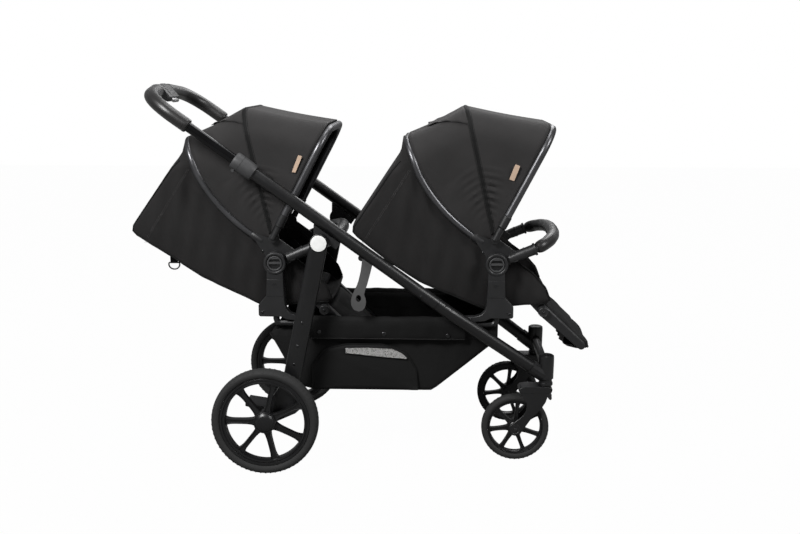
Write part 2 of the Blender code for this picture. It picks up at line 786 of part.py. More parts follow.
def tyre(centre, radius, width, depth):
    """A rounded tyre whose lowest flat lies level on the floor."""
    half = width / 2
    profile = [
        (radius - depth, -half * 0.78), (radius - depth, half * 0.78),
        (radius - depth * 0.50, half), (radius - depth * 0.07, half * 0.66),
        (radius, half * 0.34), (radius, -half * 0.34),
        (radius - depth * 0.07, -half * 0.66), (radius - depth * 0.50, -half),
    ]
    profile = [(corner_radius(r), offset) for r, offset in profile]
    start = -math.pi / 2 + math.pi / WHEEL_SIDES
    return turned_ring(profile, centre, WHEEL_SIDES, start)


def spoke_gap(centre, hub_radius, ring_radius, half_width, angle):
    """The window between two spokes, as a cutter through the wheel."""
    step = 2 * math.pi / SPOKES
    inner_lean = math.asin((SPOKE_WIDTH / 2) / hub_radius)
    outer_lean = math.asin((SPOKE_WIDTH / 2) / ring_radius)
    middle = (centre.x, centre.z)
    outline = arc(middle, ring_radius, angle + outer_lean, angle + step - outer_lean, 5)
    outline += arc(middle, hub_radius, angle + step - inner_lean, angle + inner_lean, 2)
    return prism(outline, centre.y - half_width, centre.y + half_width)


def rim(centre, radius, ring_depth, width, hub_radius, hub_width, first_spoke):
    """A spoked rim with a thicker hub."""
    plain = corner_radius(radius)
    start = -math.pi / 2 + math.pi / WHEEL_SIDES
    rings = []
    for y in (centre.y - width / 2, centre.y + width / 2):
        ring = []
        for i in range(WHEEL_SIDES):
            x, z = polar((centre.x, centre.z), plain, start + 2 * math.pi * i / WHEEL_SIDES)
            ring.append(Vector((x, y, z)))
        rings.append(ring)
    disc = skin(rings)
    gaps = []
    for i in range(SPOKES):
        angle = first_spoke + 2 * math.pi * i / SPOKES
        gaps.append(spoke_gap(centre, hub_radius + 0.004, radius - ring_depth, width, angle))
    reach = Vector((0, hub_width / 2, 0))
    hub = cylinder(centre - reach, centre + reach, hub_radius, 20)
    return joined(cut(disc, *gaps), hub)


def rear_wheel(side):
    centre = Vector((REAR_AXLE_X, side * REAR_TRACK / 2, REAR_WHEEL_RADIUS))
    rim_radius = REAR_WHEEL_RADIUS - REAR_TYRE_DEPTH - TOUCH
    body = rim(
        centre, rim_radius, REAR_RIM_DEPTH, REAR_TYRE_WIDTH * 0.7,
        REAR_HUB_RADIUS, REAR_HUB_WIDTH, math.radians(180),
    )
    inner = centre - Vector((0, side * (REAR_HUB_WIDTH / 2 + 0.01), 0))
    blind = centre + Vector((0, side * (REAR_HUB_WIDTH / 2 - 0.006), 0))
    body = cut(body, cylinder(inner, blind, SPINDLE_RADIUS + RUNNING, 12))
    return body, tyre(centre, REAR_WHEEL_RADIUS, REAR_TYRE_WIDTH, REAR_TYRE_DEPTH)


def front_wheel(side):
    centre = Vector((FRONT_AXLE_X, side * FRONT_TRACK / 2, FRONT_WHEEL_RADIUS))
    rim_radius = FRONT_WHEEL_RADIUS - FRONT_TYRE_DEPTH - TOUCH
    body = rim(
        centre, rim_radius, FRONT_RIM_DEPTH, FRONT_TYRE_WIDTH * 0.7,
        FRONT_HUB_RADIUS, FRONT_HUB_WIDTH, math.radians(187),
    )
    reach = Vector((0, FRONT_HUB_WIDTH, 0))
    body = cut(body, cylinder(centre - reach, centre + reach, AXLE_PIN_RADIUS + RUNNING, 12))
    return body, tyre(centre, FRONT_WHEEL_RADIUS, FRONT_TYRE_WIDTH, FRONT_TYRE_DEPTH)


# Casters

def fork_plate_top():
    return HOUSING_BOTTOM - SWING


def fork_arm(y_from, y_to):
    """One cranked fork arm from the top plate down to the wheel's axle."""
    hub = (FRONT_AXLE_X, FRONT_WHEEL_RADIUS)
    bottom = fork_plate_top() - FORK_PLATE_DEPTH
    outline = [
        (FORK_PLATE_BACK + 0.004, bottom + 0.004),
        (FORK_PLATE_FRONT - 0.012, bottom + 0.004),
        (FORK_PLATE_FRONT - 0.016, bottom - 0.020),
    ]
    outline += arc(hub, FORK_EYE_RADIUS, math.radians(-32), math.radians(-208), 7)
    outline += [at(hub, place) for place in FORK_CRANK]
    return prism(outline, y_from, y_to)


def caster_fork(side):
    y = side * FRONT_TRACK / 2
    top = fork_plate_top()
    half = FORK_PLATE_WIDTH / 2
    low, high = y - half, y + half
    plate = block(
        (FORK_PLATE_BACK, low, top - FORK_PLATE_DEPTH), (FORK_PLATE_FRONT, high, top)
    )
    inset = 0.0005
    right = fork_arm(low + inset, low + FORK_ARM_THICKNESS)
    left = fork_arm(high - FORK_ARM_THICKNESS, high - inset)
    stem_top = HOUSING_BOTTOM + STEM_LENGTH
    stem = cylinder((SWIVEL_X, y, top - 0.005), (SWIVEL_X, y, stem_top), STEM_RADIUS, 12)
    pin = cylinder(
        (FRONT_AXLE_X, low + 0.003, FRONT_WHEEL_RADIUS),
        (FRONT_AXLE_X, high - 0.003, FRONT_WHEEL_RADIUS),
        AXLE_PIN_RADIUS,
        12,
    )
    return joined(plate, right, left, stem, pin)


def lock_tab_pivot():
    return (FORK_PLATE_FRONT - LOCK_TAB_LENGTH, fork_plate_top() - FORK_PLATE_DEPTH - 0.006)


def swivel_lock(side):
    """The small tab under the front of the fork plate that locks the swivel."""
    y = side * FRONT_TRACK / 2
    pivot = lock_tab_pivot()
    under = fork_plate_top() - FORK_PLATE_DEPTH - TOUCH
    front = FORK_PLATE_FRONT
    outline = arc(pivot, under - pivot[1], math.radians(90), math.radians(250), 6)
    outline += [(front - 0.004, under - LOCK_TAB_DEPTH), (front, under - LOCK_TAB_DEPTH + 0.004)]
    outline += [(front - 0.002, under - 0.0045)]
    half = LOCK_TAB_WIDTH / 2
    return prism(outline, y - half, y + half)


# Lower rails, brackets and basket

def bracket_foot_y(side):
    return sorted((side * BRACKET_INNER_Y, side * (BRACKET_INNER_Y + BRACKET_THICKNESS)))


def rail_ends():
    """Side-view places where the rail starts and ends, just under the brackets' posts."""
    rise = POST_BOTTOM - TOUCH
    return (REAR_HUB_X, rise), (FRONT_HUB_X, rise)


def tube_boss(side):
    """The rail's boss against the inner side of the main tube, square to the tube's facet."""
    centre = tube_point((TUBE_HEIGHT - RAIL_Z) / math.tan(TUBE_ANGLE), side)
    way = (tube_point(SWIVEL_X, side) - tube_point(TUBE_BEND_X, side)).normalized()
    across = Vector((0, side, 0))
    across = (across - way * across.dot(way)).normalized()
    end = centre - across * (TUBE_RADIUS * math.cos(math.pi / TUBE_SIDES) + TOUCH)
    start = end - across * ((abs(end.y) - RAIL_Y) / abs(across.y))
    return cylinder(start, end, RAIL_BOSS_RADIUS, 12)


def side_rail(side):
    """The rail under one side, its ends turned up into the brackets' posts, with its two bosses."""
    back, front = rail_ends()
    y = side * RAIL_Y
    points = [
        (back[0], y, back[1]),
        (back[0], y, RAIL_Z),
        (front[0], y, RAIL_Z),
        (front[0], y, front[1]),
    ]
    rail = swept(rounded(points, RAIL_CORNER, 3), RAIL_RADIUS, 10)
    share = (LEG_PIVOT[1] - RAIL_Z) / (LEG_PIVOT[1] - LEG_FOOT[1])
    boss_x = LEG_PIVOT[0] + share * (LEG_FOOT[0] - LEG_PIVOT[0])
    boss_end = side * (LEG_INNER_Y - SWING)
    boss = cylinder((boss_x, y, RAIL_Z), (boss_x, boss_end, RAIL_Z), RAIL_BOSS_RADIUS, 12)
    return joined(rail, boss, tube_boss(side))


def bracket(side, hub_x, outward):
    """A seat bracket: ring, post and the lug that holds a cross bar, outward in x by its sign."""
    hub = (hub_x, HUB_Z)
    reach = outward * CROSS_BAR_REACH
    half = POST_HALF_WIDTH
    ring_foot = math.sqrt(HUB_RING_RADIUS ** 2 - half ** 2)
    turn = math.atan2(-ring_foot, half)
    top = arc(hub, HUB_RING_RADIUS, turn, math.pi - turn, 14)
    lug_out = hub_x + reach + outward * LUG_REACH
    lug_side = [
        (hub_x - outward * half, POST_BOTTOM),
        (lug_out - outward * LUG_CHAMFER, POST_BOTTOM),
        (lug_out, POST_BOTTOM + LUG_CHAMFER),
        (lug_out, CROSS_BAR_Z + LUG_RISE),
        (hub_x + outward * half, CROSS_BAR_Z + GUSSET_RISE),
    ]
    if outward < 0:
        lug_side = lug_side[::-1]
    low, high = bracket_foot_y(side)
    body = prism(top + lug_side, low, high)
    hole = cylinder((hub_x, low - 0.01, HUB_Z), (hub_x, high + 0.01, HUB_Z), HUB_HOLE_RADIUS, 24)
    return cut(body, hole)


def cross_bar(hub_x, outward):
    x = hub_x + outward * CROSS_BAR_REACH
    reach = BRACKET_INNER_Y - TOUCH
    return cylinder((x, -reach, CROSS_BAR_Z), (x, reach, CROSS_BAR_Z), CROSS_BAR_RADIUS, 12)


def basket():
    """An open-topped basket between the rails."""
    half = RAIL_Y - RAIL_RADIUS - TOUCH
    outline = [
        (BASKET_BACK_X, BASKET_TOP),
        BASKET_BACK_CREASE,
        (BASKET_BACK_FOOT_X, BASKET_BOTTOM),
        (BASKET_FRONT_FOOT_X, BASKET_BOTTOM),
        BASKET_FRONT_CREASE,
        (BASKET_FRONT_X, BASKET_NOSE_Z),
        (BASKET_FRONT_X, BASKET_TOP),
    ]
    wall = BASKET_WALL
    above = BASKET_TOP + wall
    inside = [
        (BASKET_BACK_X + wall * 1.2, above),
        at(BASKET_BACK_CREASE, (wall, wall * 0.3)),
        (BASKET_BACK_FOOT_X + wall, BASKET_BOTTOM + wall),
        (BASKET_FRONT_FOOT_X - wall * 0.4, BASKET_BOTTOM + wall),
        at(BASKET_FRONT_CREASE, (-wall * 0.6, wall * 0.6)),
        (BASKET_FRONT_X - wall, BASKET_NOSE_Z + wall * 0.4),
        (BASKET_FRONT_X - wall, above),
    ]
    return cut(prism(outline, -half, half), prism(inside, -half + wall, half - wall))


# Seat units. Every side-view place is measured from the seat's hub.

def arch_leg(hub):
    """Side-view places up the hoop's leg, bulging backwards, from its foot to the hoop's top."""
    foot = Vector(at(hub, ARCH_FOOT))
    top = Vector(polar(at(hub, CANOPY_HINGE), ARCH_RADIUS, ARCH_ANGLE))
    up = (top - foot).normalized()
    back = Vector((-up.y, up.x))
    leg = [foot.lerp(top, t) + back * ARCH_BULGE * 4 * t * (1 - t) for t in (0, 0.2, 0.4, 0.6, 1)]
    return leg, up, back


def arch_path(hub):
    """The seat's main hoop: up from the right plate, over the top and down to the left plate."""
    leg = arch_leg(hub)[0]
    right = [Vector((place.x, -FRAME_Y, place.y)) for place in leg]
    left = [Vector((p.x, -p.y, p.z)) for p in right]
    bend = rounded([right[-2], right[-1], left[-1], left[-2]], BOW_CORNER, 5)
    return right[:-2] + bend + left[-3::-1]


def side_plate(hub, side):
    """The seat's moulded side plate with its spigot, canopy pivot, bumper lug and leg-rest arm."""
    hinge = at(hub, CANOPY_HINGE)
    foot = at(hub, ARCH_FOOT)
    bumper = at(hub, BUMPER_HINGE)
    outline = arc(hub, SIDE_PLATE_RADIUS, math.radians(-20), math.radians(-175), 8)
    outline += [at(foot, (-0.010, 0.002)), at(foot, (0, 0.014))]
    outline += arc(hinge, HINGE_LUG_RADIUS, math.radians(100), math.radians(0), 4)
    outline += arc(bumper, BUMPER_LUG_RADIUS, math.radians(60), math.radians(-60), 4)
    low, high = sorted((side * PLATE_INNER_Y, side * PLATE_OUTER_Y))
    plate = prism(outline, low, high)
    spigot_end = side * (BRACKET_INNER_Y + BRACKET_THICKNESS / 2)
    spigot_start = side * (PLATE_INNER_Y + 0.001)
    spigot = cylinder(
        (hub[0], spigot_start, hub[1]), (hub[0], spigot_end, hub[1]), SPIGOT_RADIUS, 24
    )
    end = at(hub, LEGREST_HINGE)
    lean = math.atan2(LEGREST_HINGE[1], LEGREST_HINGE[0])
    arm = arc(hub, LEGREST_ARM_START_RADIUS, lean + math.pi / 2, lean + math.pi * 3 / 2, 2)
    arm += arc(end, LEGREST_EYE_RADIUS, lean - math.pi / 2, lean + math.pi / 2, 6)
    return plate, spigot, prism(arm, low + 0.0005, high - 0.0005)


def seat_frame(hub):
    hoop = swept(arch_path(hub), FRAME_TUBE_RADIUS, 10)
    parts = []
    for side in (-1, 1):
        parts += side_plate(hub, side)
    return joined(hoop, *parts)


def seat_shell(hub, bag_reach):
    """The fabric seat: a deep bag behind, a flat pan in front, open above."""
    leg, up, back = arch_leg(hub)
    gap = FRAME_TUBE_RADIUS + TOUCH
    rim = [place + back * gap for place in leg]
    top = leg[-1]
    wall = SHELL_WALL
    outline = [rim[-1] + back * wall * 0.6]
    outline += [at(hub, (x - bag_reach, z)) for x, z in BAG_CORNER]
    outline += [at(hub, place) for place in BAG_UNDER + PAN_FRONT]
    outline += rim
    deep = at(hub, BAG_CORNER[0])
    cavity = [
        top - up * wall - back * 0.05,
        top - up * wall + back * gap,
        at(deep, (wall - bag_reach, -0.002)),
        at(deep, (wall - bag_reach, -0.016)),
        at(hub, (PAN_BACK_X, SEAT_PAN_Z)),
        at(hub, (CAVITY_END_X, SEAT_PAN_Z)),
        at(hub, (CAVITY_END_X, CANOPY_HINGE[1])),
    ]
    half = SEAT_HALF_WIDTH
    body = prism(outline, -half, half)
    return cut(body, prism(cavity, -half + wall, half - wall))


def bow_path(hub, radius, angle, y):
    """A canopy bow from its right pivot over the top to its left pivot."""
    hinge = at(hub, CANOPY_HINGE)
    foot = polar(hinge, BOW_FOOT, angle)
    top = polar(hinge, radius, angle)
    points = [
        (foot[0], -y, foot[1]), (top[0], -y, top[1]),
        (top[0], y, top[1]), (foot[0], y, foot[1]),
    ]
    return rounded(points, BOW_CORNER, 5)


def canopy_bow(hub, radius, angle, y, sleeve=None):
    """A round bow with a pivot disc at each foot, and a thicker sleeve over it where one is given."""
    hinge = at(hub, CANOPY_HINGE)
    path = bow_path(hub, radius, angle, y)
    radii = [BOW_WIRE_RADIUS] * len(path)
    if sleeve:
        start = polar(hinge, BRIM_START, angle)
        right, left = [Vector((start[0], turn * y, start[1])) for turn in (-1, 1)]
        step = (path[1] - path[0]).normalized() * BOW_WIRE_RADIUS
        path = [path[0], right - step, right] + path[1:-1] + [left, left - step, path[-1]]
        thin = [BOW_WIRE_RADIUS] * 2
        radii = thin + [sleeve] * (len(path) - 4) + thin
    bow = swept(path, radii, 10)
    discs = []
    for side in (-1, 1):
        low = (hinge[0], side * (y - BOW_WIRE_RADIUS), hinge[1])
        high = (hinge[0], side * (y + BOW_WIRE_RADIUS), hinge[1])
        discs.append(cylinder(low, high, BOW_DISC_RADIUS, 14))
    return joined(bow, *discs)


def canopy_sections():
    """(radius, angle) of the canopy's skin at the hoop, between and at the bows."""
    hoop = (ARCH_RADIUS + FRAME_TUBE_RADIUS + CANOPY_GAP, ARCH_ANGLE + CANOPY_OVERHANG)
    middle = (MID_BOW_RADIUS + BOW_WIRE_RADIUS + CANOPY_GAP, MID_BOW_ANGLE)
    front = (FRONT_BOW_RADIUS + BRIM_RADIUS + CANOPY_GAP, FRONT_BOW_ANGLE - CANOPY_OVERHANG)
    sections = []
    for (first, second) in ((hoop, middle), (middle, front)):
        for i in range(3):
            share = i / 3
            radius = first[0] + (second[0] - first[0]) * share
            sections.append((radius, first[1] + (second[1] - first[1]) * share))
    sections.append(front)
    return sections


def canopy_ring(hub, radius, angle, half_width, steps=4):
    """One section of the canopy's skin, from the right skirt over the top to the left skirt."""
    hinge = at(hub, CANOPY_HINGE)
    points = [(CANOPY_SKIRT, -half_width)]
    corner = radius - BOW_CORNER
    for i in range(steps + 1):
        turn = math.pi / 2 * i / steps
        inwards = BOW_CORNER * (1 - math.cos(turn))
        points.append((corner + BOW_CORNER * math.sin(turn), -half_width + inwards))
    points += [(along, -y) for along, y in reversed(points)]
    ring = []
    for along, y in points:
        x, z = polar(hinge, along, angle)
        ring.append(Vector((x, y, z)))
    return ring


def canopy_cover(hub):
    """A closed skin over the hoop and both bows."""
    rings = []
    for radius, angle in canopy_sections():
        inner = canopy_ring(hub, radius, angle, CANOPY_HALF_WIDTH)
        outer = canopy_ring(hub, radius + CANOPY_WALL, angle, CANOPY_HALF_WIDTH + CANOPY_WALL)
        rings.append(outer + inner[::-1])
    return skin(rings)


def bumper_bar(hub):
    """A padded U-shaped bar that turns in sockets beside the hubs."""
    start = at(hub, BUMPER_HINGE)
    marks = [start, polar(start, BUMPER_REACH, BUMPER_ANGLE)]
    y = BUMPER_Y
    points = [
        (marks[0][0], -y, marks[0][1]), (marks[1][0], -y, marks[1][1]),
        (marks[1][0], y, marks[1][1]), (marks[0][0], y, marks[0][1]),
    ]
    bend = rounded(points, BUMPER_CORNER, 5)
    step = polar(start, BUMPER_GRIP_START * 0.75, BUMPER_ANGLE)
    right_step = Vector((step[0], -y, step[1]))
    left_step = Vector((step[0], y, step[1]))
    path = [bend[0], right_step] + bend[1:-1] + [left_step, bend[-1]]
    thin, thick = BUMPER_SOCKET_RADIUS, BUMPER_GRIP_RADIUS
    radii = [thin, thin] + [thick] * (len(path) - 4) + [thin, thin]
    bar = swept(path, radii, 10)
    eyes = []
    for side in (-1, 1):
        inner = (start[0], side * (PLATE_OUTER_Y + TOUCH), start[1])
        outer = (start[0], side * (y + thin * 0.8), start[1])
        eyes.append(cylinder(inner, outer, thin + 0.0005, 14))
    return joined(bar, *eyes)


def legrest(hub):
    """The calf rest: a padded board with a round end, carried by an arm at each side."""
    origin = at(hub, LEGREST_HINGE)
    along = Vector((math.cos(LEGREST_ANGLE), math.sin(LEGREST_ANGLE)))
    up = Vector((-along.y, along.x))

    def local(a, b):
        return tuple(Vector(origin) + along * a + up * b)

    plan = [(LEGREST_BOARD_START, -LEGREST_HALF_WIDTH)]
    corner_along = LEGREST_BOARD_LENGTH - LEGREST_BOARD_CORNER
    corner_y = LEGREST_HALF_WIDTH - LEGREST_BOARD_CORNER
    for middle, turn in (((corner_along, -corner_y), -math.pi / 2), ((corner_along, corner_y), 0)):
        plan += arc(middle, LEGREST_BOARD_CORNER, turn, turn + math.pi / 2, 5)
    plan.append((LEGREST_BOARD_START, LEGREST_HALF_WIDTH))
    near, far = LEGREST_BOARD_TOP
    rings = [[], []]
    for a, y in plan:
        low = local(a, -LEGREST_BOARD_UNDER)
        high = local(a, near + (far - near) * a / LEGREST_BOARD_LENGTH)
        rings[0].append(Vector((low[0], y, low[1])))
        rings[1].append(Vector((high[0], y, high[1])))
    parts = [skin(rings)]
    half = LEGREST_ARM_END_WIDTH / 2
    start = LEGREST_ANGLE + math.pi / 2
    for side in (-1, 1):
        low, high = sorted((side * (LEGREST_HALF_WIDTH - 0.004), side * (PLATE_INNER_Y - TOUCH)))
        outline = arc(origin, LEGREST_EYE_RADIUS, start, start + math.pi, 6)
        outline += [local(LEGREST_ARM_LENGTH, -half), local(LEGREST_ARM_LENGTH, half)]
        parts.append(prism(outline, low, high))
    return joined(*parts)


def release_button(hub_x, side):
    """The round push button inside a bracket's ring."""
    outer = side * (BRACKET_INNER_Y + BRACKET_THICKNESS + 0.0005)
    inner = outer - side * BUTTON_DEPTH
    return cylinder((hub_x, inner, HUB_Z), (hub_x, outer, HUB_Z), SPIGOT_RADIUS, 24)


# Assembly

def build_frame():
    add_body("chassis", (0, 0, 0))
    for word, side in SIDES:
        add_piece("main_tube_" + word, main_tube(side), "chassis", BLACK_PAINT)
        add_piece("handle_collar_" + word, collar(side), "chassis", GREY)
        add_piece("pivot_plate_" + word, pivot_plate(side), "chassis", CHARCOAL)
        add_piece("caster_housing_" + word, caster_housing(side), "chassis", CHARCOAL)
        add_piece("side_rail_" + word, side_rail(side), "chassis", BLACK_PAINT)
        add_piece("rear_bracket_" + word, bracket(side, REAR_HUB_X, -1), "chassis", CHARCOAL)
        add_piece("front_bracket_" + word, bracket(side, FRONT_HUB_X, 1), "chassis", CHARCOAL)
    add_piece("front_cross_tube", front_cross_tube(), "chassis", BLACK_PAINT)
    add_piece("rear_cross_bar", cross_bar(REAR_HUB_X, -1), "chassis", BLACK_PAINT)
    add_piece("front_cross_bar", cross_bar(FRONT_HUB_X, 1), "chassis", BLACK_PAINT)
    add_piece("basket", basket(), "chassis", FABRIC)
    pivot = strap_pivot()
    add_body("fold_strap", (pivot[0], -TUBE_TRACK / 2, pivot[1]), "chassis")
    add_piece("fold_strap", fold_strap(), "fold_strap", GREY)


def build_handle():
    add_body("handle", tube_point(TUBE_TOP_X, 0), "chassis")
    add_piece("handle_tube", handle_tube(), "handle", GLOSS_BLACK)
    for word, side in SIDES:
        add_piece("handle_grip_" + word, handle_grip(side), "handle", GRIP_SKIN)
    add_piece("lever_housing", lever_housing(), "handle", GREY)
    add_body("handle_lever", (HANDLE_BAR[0], 0, HANDLE_BAR[1]), "handle")
    add_piece("handle_lever", handle_lever(), "handle_lever", STEEL)


def build_rear_frame():
    add_body("rear_frame", (LEG_PIVOT[0], 0, LEG_PIVOT[1]), "chassis")
    add_piece("axle_beam", axle_beam(), "rear_frame", CHARCOAL)
    add_body("brake_pedal", (REAR_AXLE_X, 0, REAR_WHEEL_RADIUS), "rear_frame")
    add_piece("brake_pedal", brake_pedal(), "brake_pedal", GREY)
    for word, side in SIDES:
        add_piece("rear_leg_" + word, rear_leg(side), "rear_frame", BLACK_PAINT)
        add_piece("pivot_cap_" + word, pivot_cap(side), "rear_frame", WHITE)
        name = "rear_wheel_" + word
        add_body(name, (REAR_AXLE_X, side * REAR_TRACK / 2, REAR_WHEEL_RADIUS), "rear_frame")
        body, outer = rear_wheel(side)
        add_piece("rear_rim_" + word, body, name, CHARCOAL)
        add_piece("rear_tyre_" + word, outer, name, RUBBER)


def build_casters():
    for word, side in SIDES:
        y = side * FRONT_TRACK / 2
        caster = "caster_" + word
        add_body(caster, (SWIVEL_X, y, HOUSING_BOTTOM), "chassis")
        add_piece("caster_fork_" + word, caster_fork(side), caster, CHARCOAL)
        wheel = "front_wheel_" + word
        add_body(wheel, (FRONT_AXLE_X, y, FRONT_WHEEL_RADIUS), caster)
        body, outer = front_wheel(side)
        add_piece("front_rim_" + word, body, wheel, CHARCOAL)
        add_piece("front_tyre_" + word, outer, wheel, RUBBER)
        pivot = lock_tab_pivot()
        add_body("swivel_lock_" + word, (pivot[0], y, pivot[1]), caster)
        add_piece("swivel_lock_" + word, swivel_lock(side), "swivel_lock_" + word, GREY)


def build_seat(word, hub_x, bag_reach):
    hub = (hub_x, HUB_Z)
    hinge = at(hub, CANOPY_HINGE)
    seat = word + "_seat"
    add_body(seat, (hub[0], 0, hub[1]), "chassis")
    add_piece(seat + "_frame", seat_frame(hub), seat, BLACK_PAINT)
    add_piece(seat + "_shell", seat_shell(hub, bag_reach), seat, FABRIC)
    add_piece(word + "_canopy_cover", canopy_cover(hub), seat, FABRIC)
    mid = word + "_mid_bow"
    add_body(mid, (hinge[0], 0, hinge[1]), seat)
    bow = canopy_bow(hub, MID_BOW_RADIUS, MID_BOW_ANGLE, MID_BOW_Y)
    add_piece(mid, bow, mid, BLACK_PAINT)
    front = word + "_front_bow"
    add_body(front, (hinge[0], 0, hinge[1]), mid)
    brim = canopy_bow(hub, FRONT_BOW_RADIUS, FRONT_BOW_ANGLE, FRONT_BOW_Y, BRIM_RADIUS)
    add_piece(front, brim, front, GLOSS_BLACK)
    bumper = word + "_bumper_bar"
    start = at(hub, BUMPER_HINGE)
    add_body(bumper, (start[0], 0, start[1]), seat)
    add_piece(bumper, bumper_bar(hub), bumper, GRIP_SKIN)
    rest = word + "_legrest"
    end = at(hub, LEGREST_HINGE)
    add_body(rest, (end[0], 0, end[1]), seat)
    add_piece(rest, legrest(hub), rest, FABRIC)
    for name, side in SIDES:
        button = word + "_button_" + name
        add_body(button, (hub[0], side * BRACKET_INNER_Y, hub[1]), "chassis")
        add_piece(button, release_button(hub_x, side), button, GREY)


def centre_on_origin():
    """Moves the whole model so that the middle of its length lies on the origin."""
    bpy.context.view_layer.update()
    reach = []
    for piece in bpy.context.scene.objects:
        if piece.type == "MESH":
            reach += [(piece.matrix_world @ vert.co).x for vert in piece.data.vertices]
    bodies["chassis"][0].location.x = -(min(reach) + max(reach)) / 2


start_empty()
build_frame()
build_handle()
build_rear_frame()
build_casters()
build_seat("front", FRONT_HUB_X, FRONT_BAG_REACH)
build_seat("rear", REAR_HUB_X, REAR_BAG_REACH)
centre_on_origin()
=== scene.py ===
"""Double stroller: a tandem frame with two equal seat units, one behind the other.

Metres, +Z up, +X forward; the stroller's right side is at negative Y.
Side-view places are (x, z) pairs, moved forward by SHIFT to lie in the model.
"""
import math

import bmesh
import bpy
from mathutils import Matrix, Vector


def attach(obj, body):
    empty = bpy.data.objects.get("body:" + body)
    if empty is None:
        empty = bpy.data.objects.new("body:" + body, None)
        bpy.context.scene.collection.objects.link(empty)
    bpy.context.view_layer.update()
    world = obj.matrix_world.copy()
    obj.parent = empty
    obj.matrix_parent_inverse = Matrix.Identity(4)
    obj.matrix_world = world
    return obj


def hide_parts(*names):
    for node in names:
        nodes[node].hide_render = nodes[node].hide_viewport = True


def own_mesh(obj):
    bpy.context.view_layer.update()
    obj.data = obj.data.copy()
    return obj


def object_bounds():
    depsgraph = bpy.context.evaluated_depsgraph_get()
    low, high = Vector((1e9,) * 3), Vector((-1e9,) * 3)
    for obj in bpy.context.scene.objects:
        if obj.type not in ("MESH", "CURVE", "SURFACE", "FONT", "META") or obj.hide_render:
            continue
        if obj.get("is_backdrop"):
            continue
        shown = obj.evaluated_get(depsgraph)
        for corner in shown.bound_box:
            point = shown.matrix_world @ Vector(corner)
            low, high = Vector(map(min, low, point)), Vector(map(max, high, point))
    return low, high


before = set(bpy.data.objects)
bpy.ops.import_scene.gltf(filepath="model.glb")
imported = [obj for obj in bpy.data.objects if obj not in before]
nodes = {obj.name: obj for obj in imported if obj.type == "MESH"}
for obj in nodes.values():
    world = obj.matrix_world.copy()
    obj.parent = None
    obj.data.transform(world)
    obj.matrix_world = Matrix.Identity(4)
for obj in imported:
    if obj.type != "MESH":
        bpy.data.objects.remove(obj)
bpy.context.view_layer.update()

# Studio: a pale paper floor, one large soft lamp over each side with two more above and in front,
# and the photograph's camera, level with the canopies and turned a little to the rear. The paper
# looks white to the camera, and keeps a faint shadow.
SHIFT = 0.04469
CAMERA_PLACE = (0.169 + SHIFT, -2.921, 1.068)
CAMERA_DOWN = 0.187
CAMERA_TURN = 0.0399
CAMERA_LENS = 46.18
PAPER = "#8e8e8d"
PAPER_GLOW = 0.985
SIDES = (("right", -1), ("left", 1))


def linear(code):
    """The linear colour of an sRGB hex code."""
    parts = [int(code[i:i + 2], 16) / 255 for i in (1, 3, 5)]
    return tuple(p / 12.92 if p <= 0.04045 else ((p + 0.055) / 1.055) ** 2.4 for p in parts) + (1,)


def feed(tree, node, inputs):
    """Gives a node's inputs their values, or links them to sockets or to nodes' first outputs."""
    for key, given in inputs.items():
        if isinstance(given, bpy.types.Node):
            given = given.outputs[0]
        if isinstance(given, bpy.types.NodeSocket):
            tree.links.new(given, node.inputs[key])
        else:
            node.inputs[key].default_value = given


def add(tree, kind, inputs=None, **settings):
    """Adds a node with its settings and its inputs."""
    node = tree.nodes.new(kind)
    for name, setting in settings.items():
        setattr(node, name, setting)
    feed(tree, node, inputs or {})
    return node


def worked_out(tree, operation, *inputs):
    """Adds one step of arithmetic."""
    return add(tree, "ShaderNodeMath", dict(enumerate(inputs)), operation=operation)


def shown(name, data, place=(0, 0, 0)):
    """Puts data into the scene as an object."""
    made = bpy.data.objects.new(name, data)
    made.location = place
    bpy.context.scene.collection.objects.link(made)
    return made


camera = shown("camera", bpy.data.cameras.new("camera"), CAMERA_PLACE)
camera.data.lens = CAMERA_LENS
camera.rotation_euler = (math.pi / 2 - CAMERA_DOWN, 0, CAMERA_TURN)
bpy.context.scene.camera = camera
bpy.context.scene.view_settings.view_transform = "Standard"

for lamp_name, lamp_place, lamp_size, lamp_power in (
    ("lamp_over_right", (-1.5, -2.1, 2.5), 1.0, 112), ("lamp_over_left", (0.8, 2.4, 2.8), 2.0, 44),
    ("lamp_top", (0.3, 0.2, 3.2), 1.2, 24), ("lamp_front", (2.3, -1.4, 2.2), 0.9, 44),
):
    lamp = shown(lamp_name, bpy.data.lights.new(lamp_name, "AREA"), lamp_place)
    lamp.data.shape = "DISK"
    lamp.data.size = lamp_size
    lamp.data.energy = lamp_power
    lamp.rotation_euler = (Vector((0, 0, 0.5)) - Vector(lamp_place)).to_track_quat("-Z", "Y").to_euler()

sky = bpy.data.worlds.new("studio")
sky.use_nodes = True
tree = sky.node_tree
tree.nodes.clear()
rays = add(tree, "ShaderNodeLightPath").outputs
clear_view = worked_out(tree, "MAXIMUM", rays["Is Camera Ray"], rays["Is Transmission Ray"])
room_light = add(tree, "ShaderNodeBackground", {"Color": linear("#f4f5f7"), "Strength": 0.2})
white_view = add(tree, "ShaderNodeBackground", {"Color": (1, 1, 1, 1), "Strength": 1.0})
sky_mix = add(tree, "ShaderNodeMixShader", {0: clear_view, 1: room_light, 2: white_view})
add(tree, "ShaderNodeOutputWorld", {0: sky_mix})
bpy.context.scene.world = sky

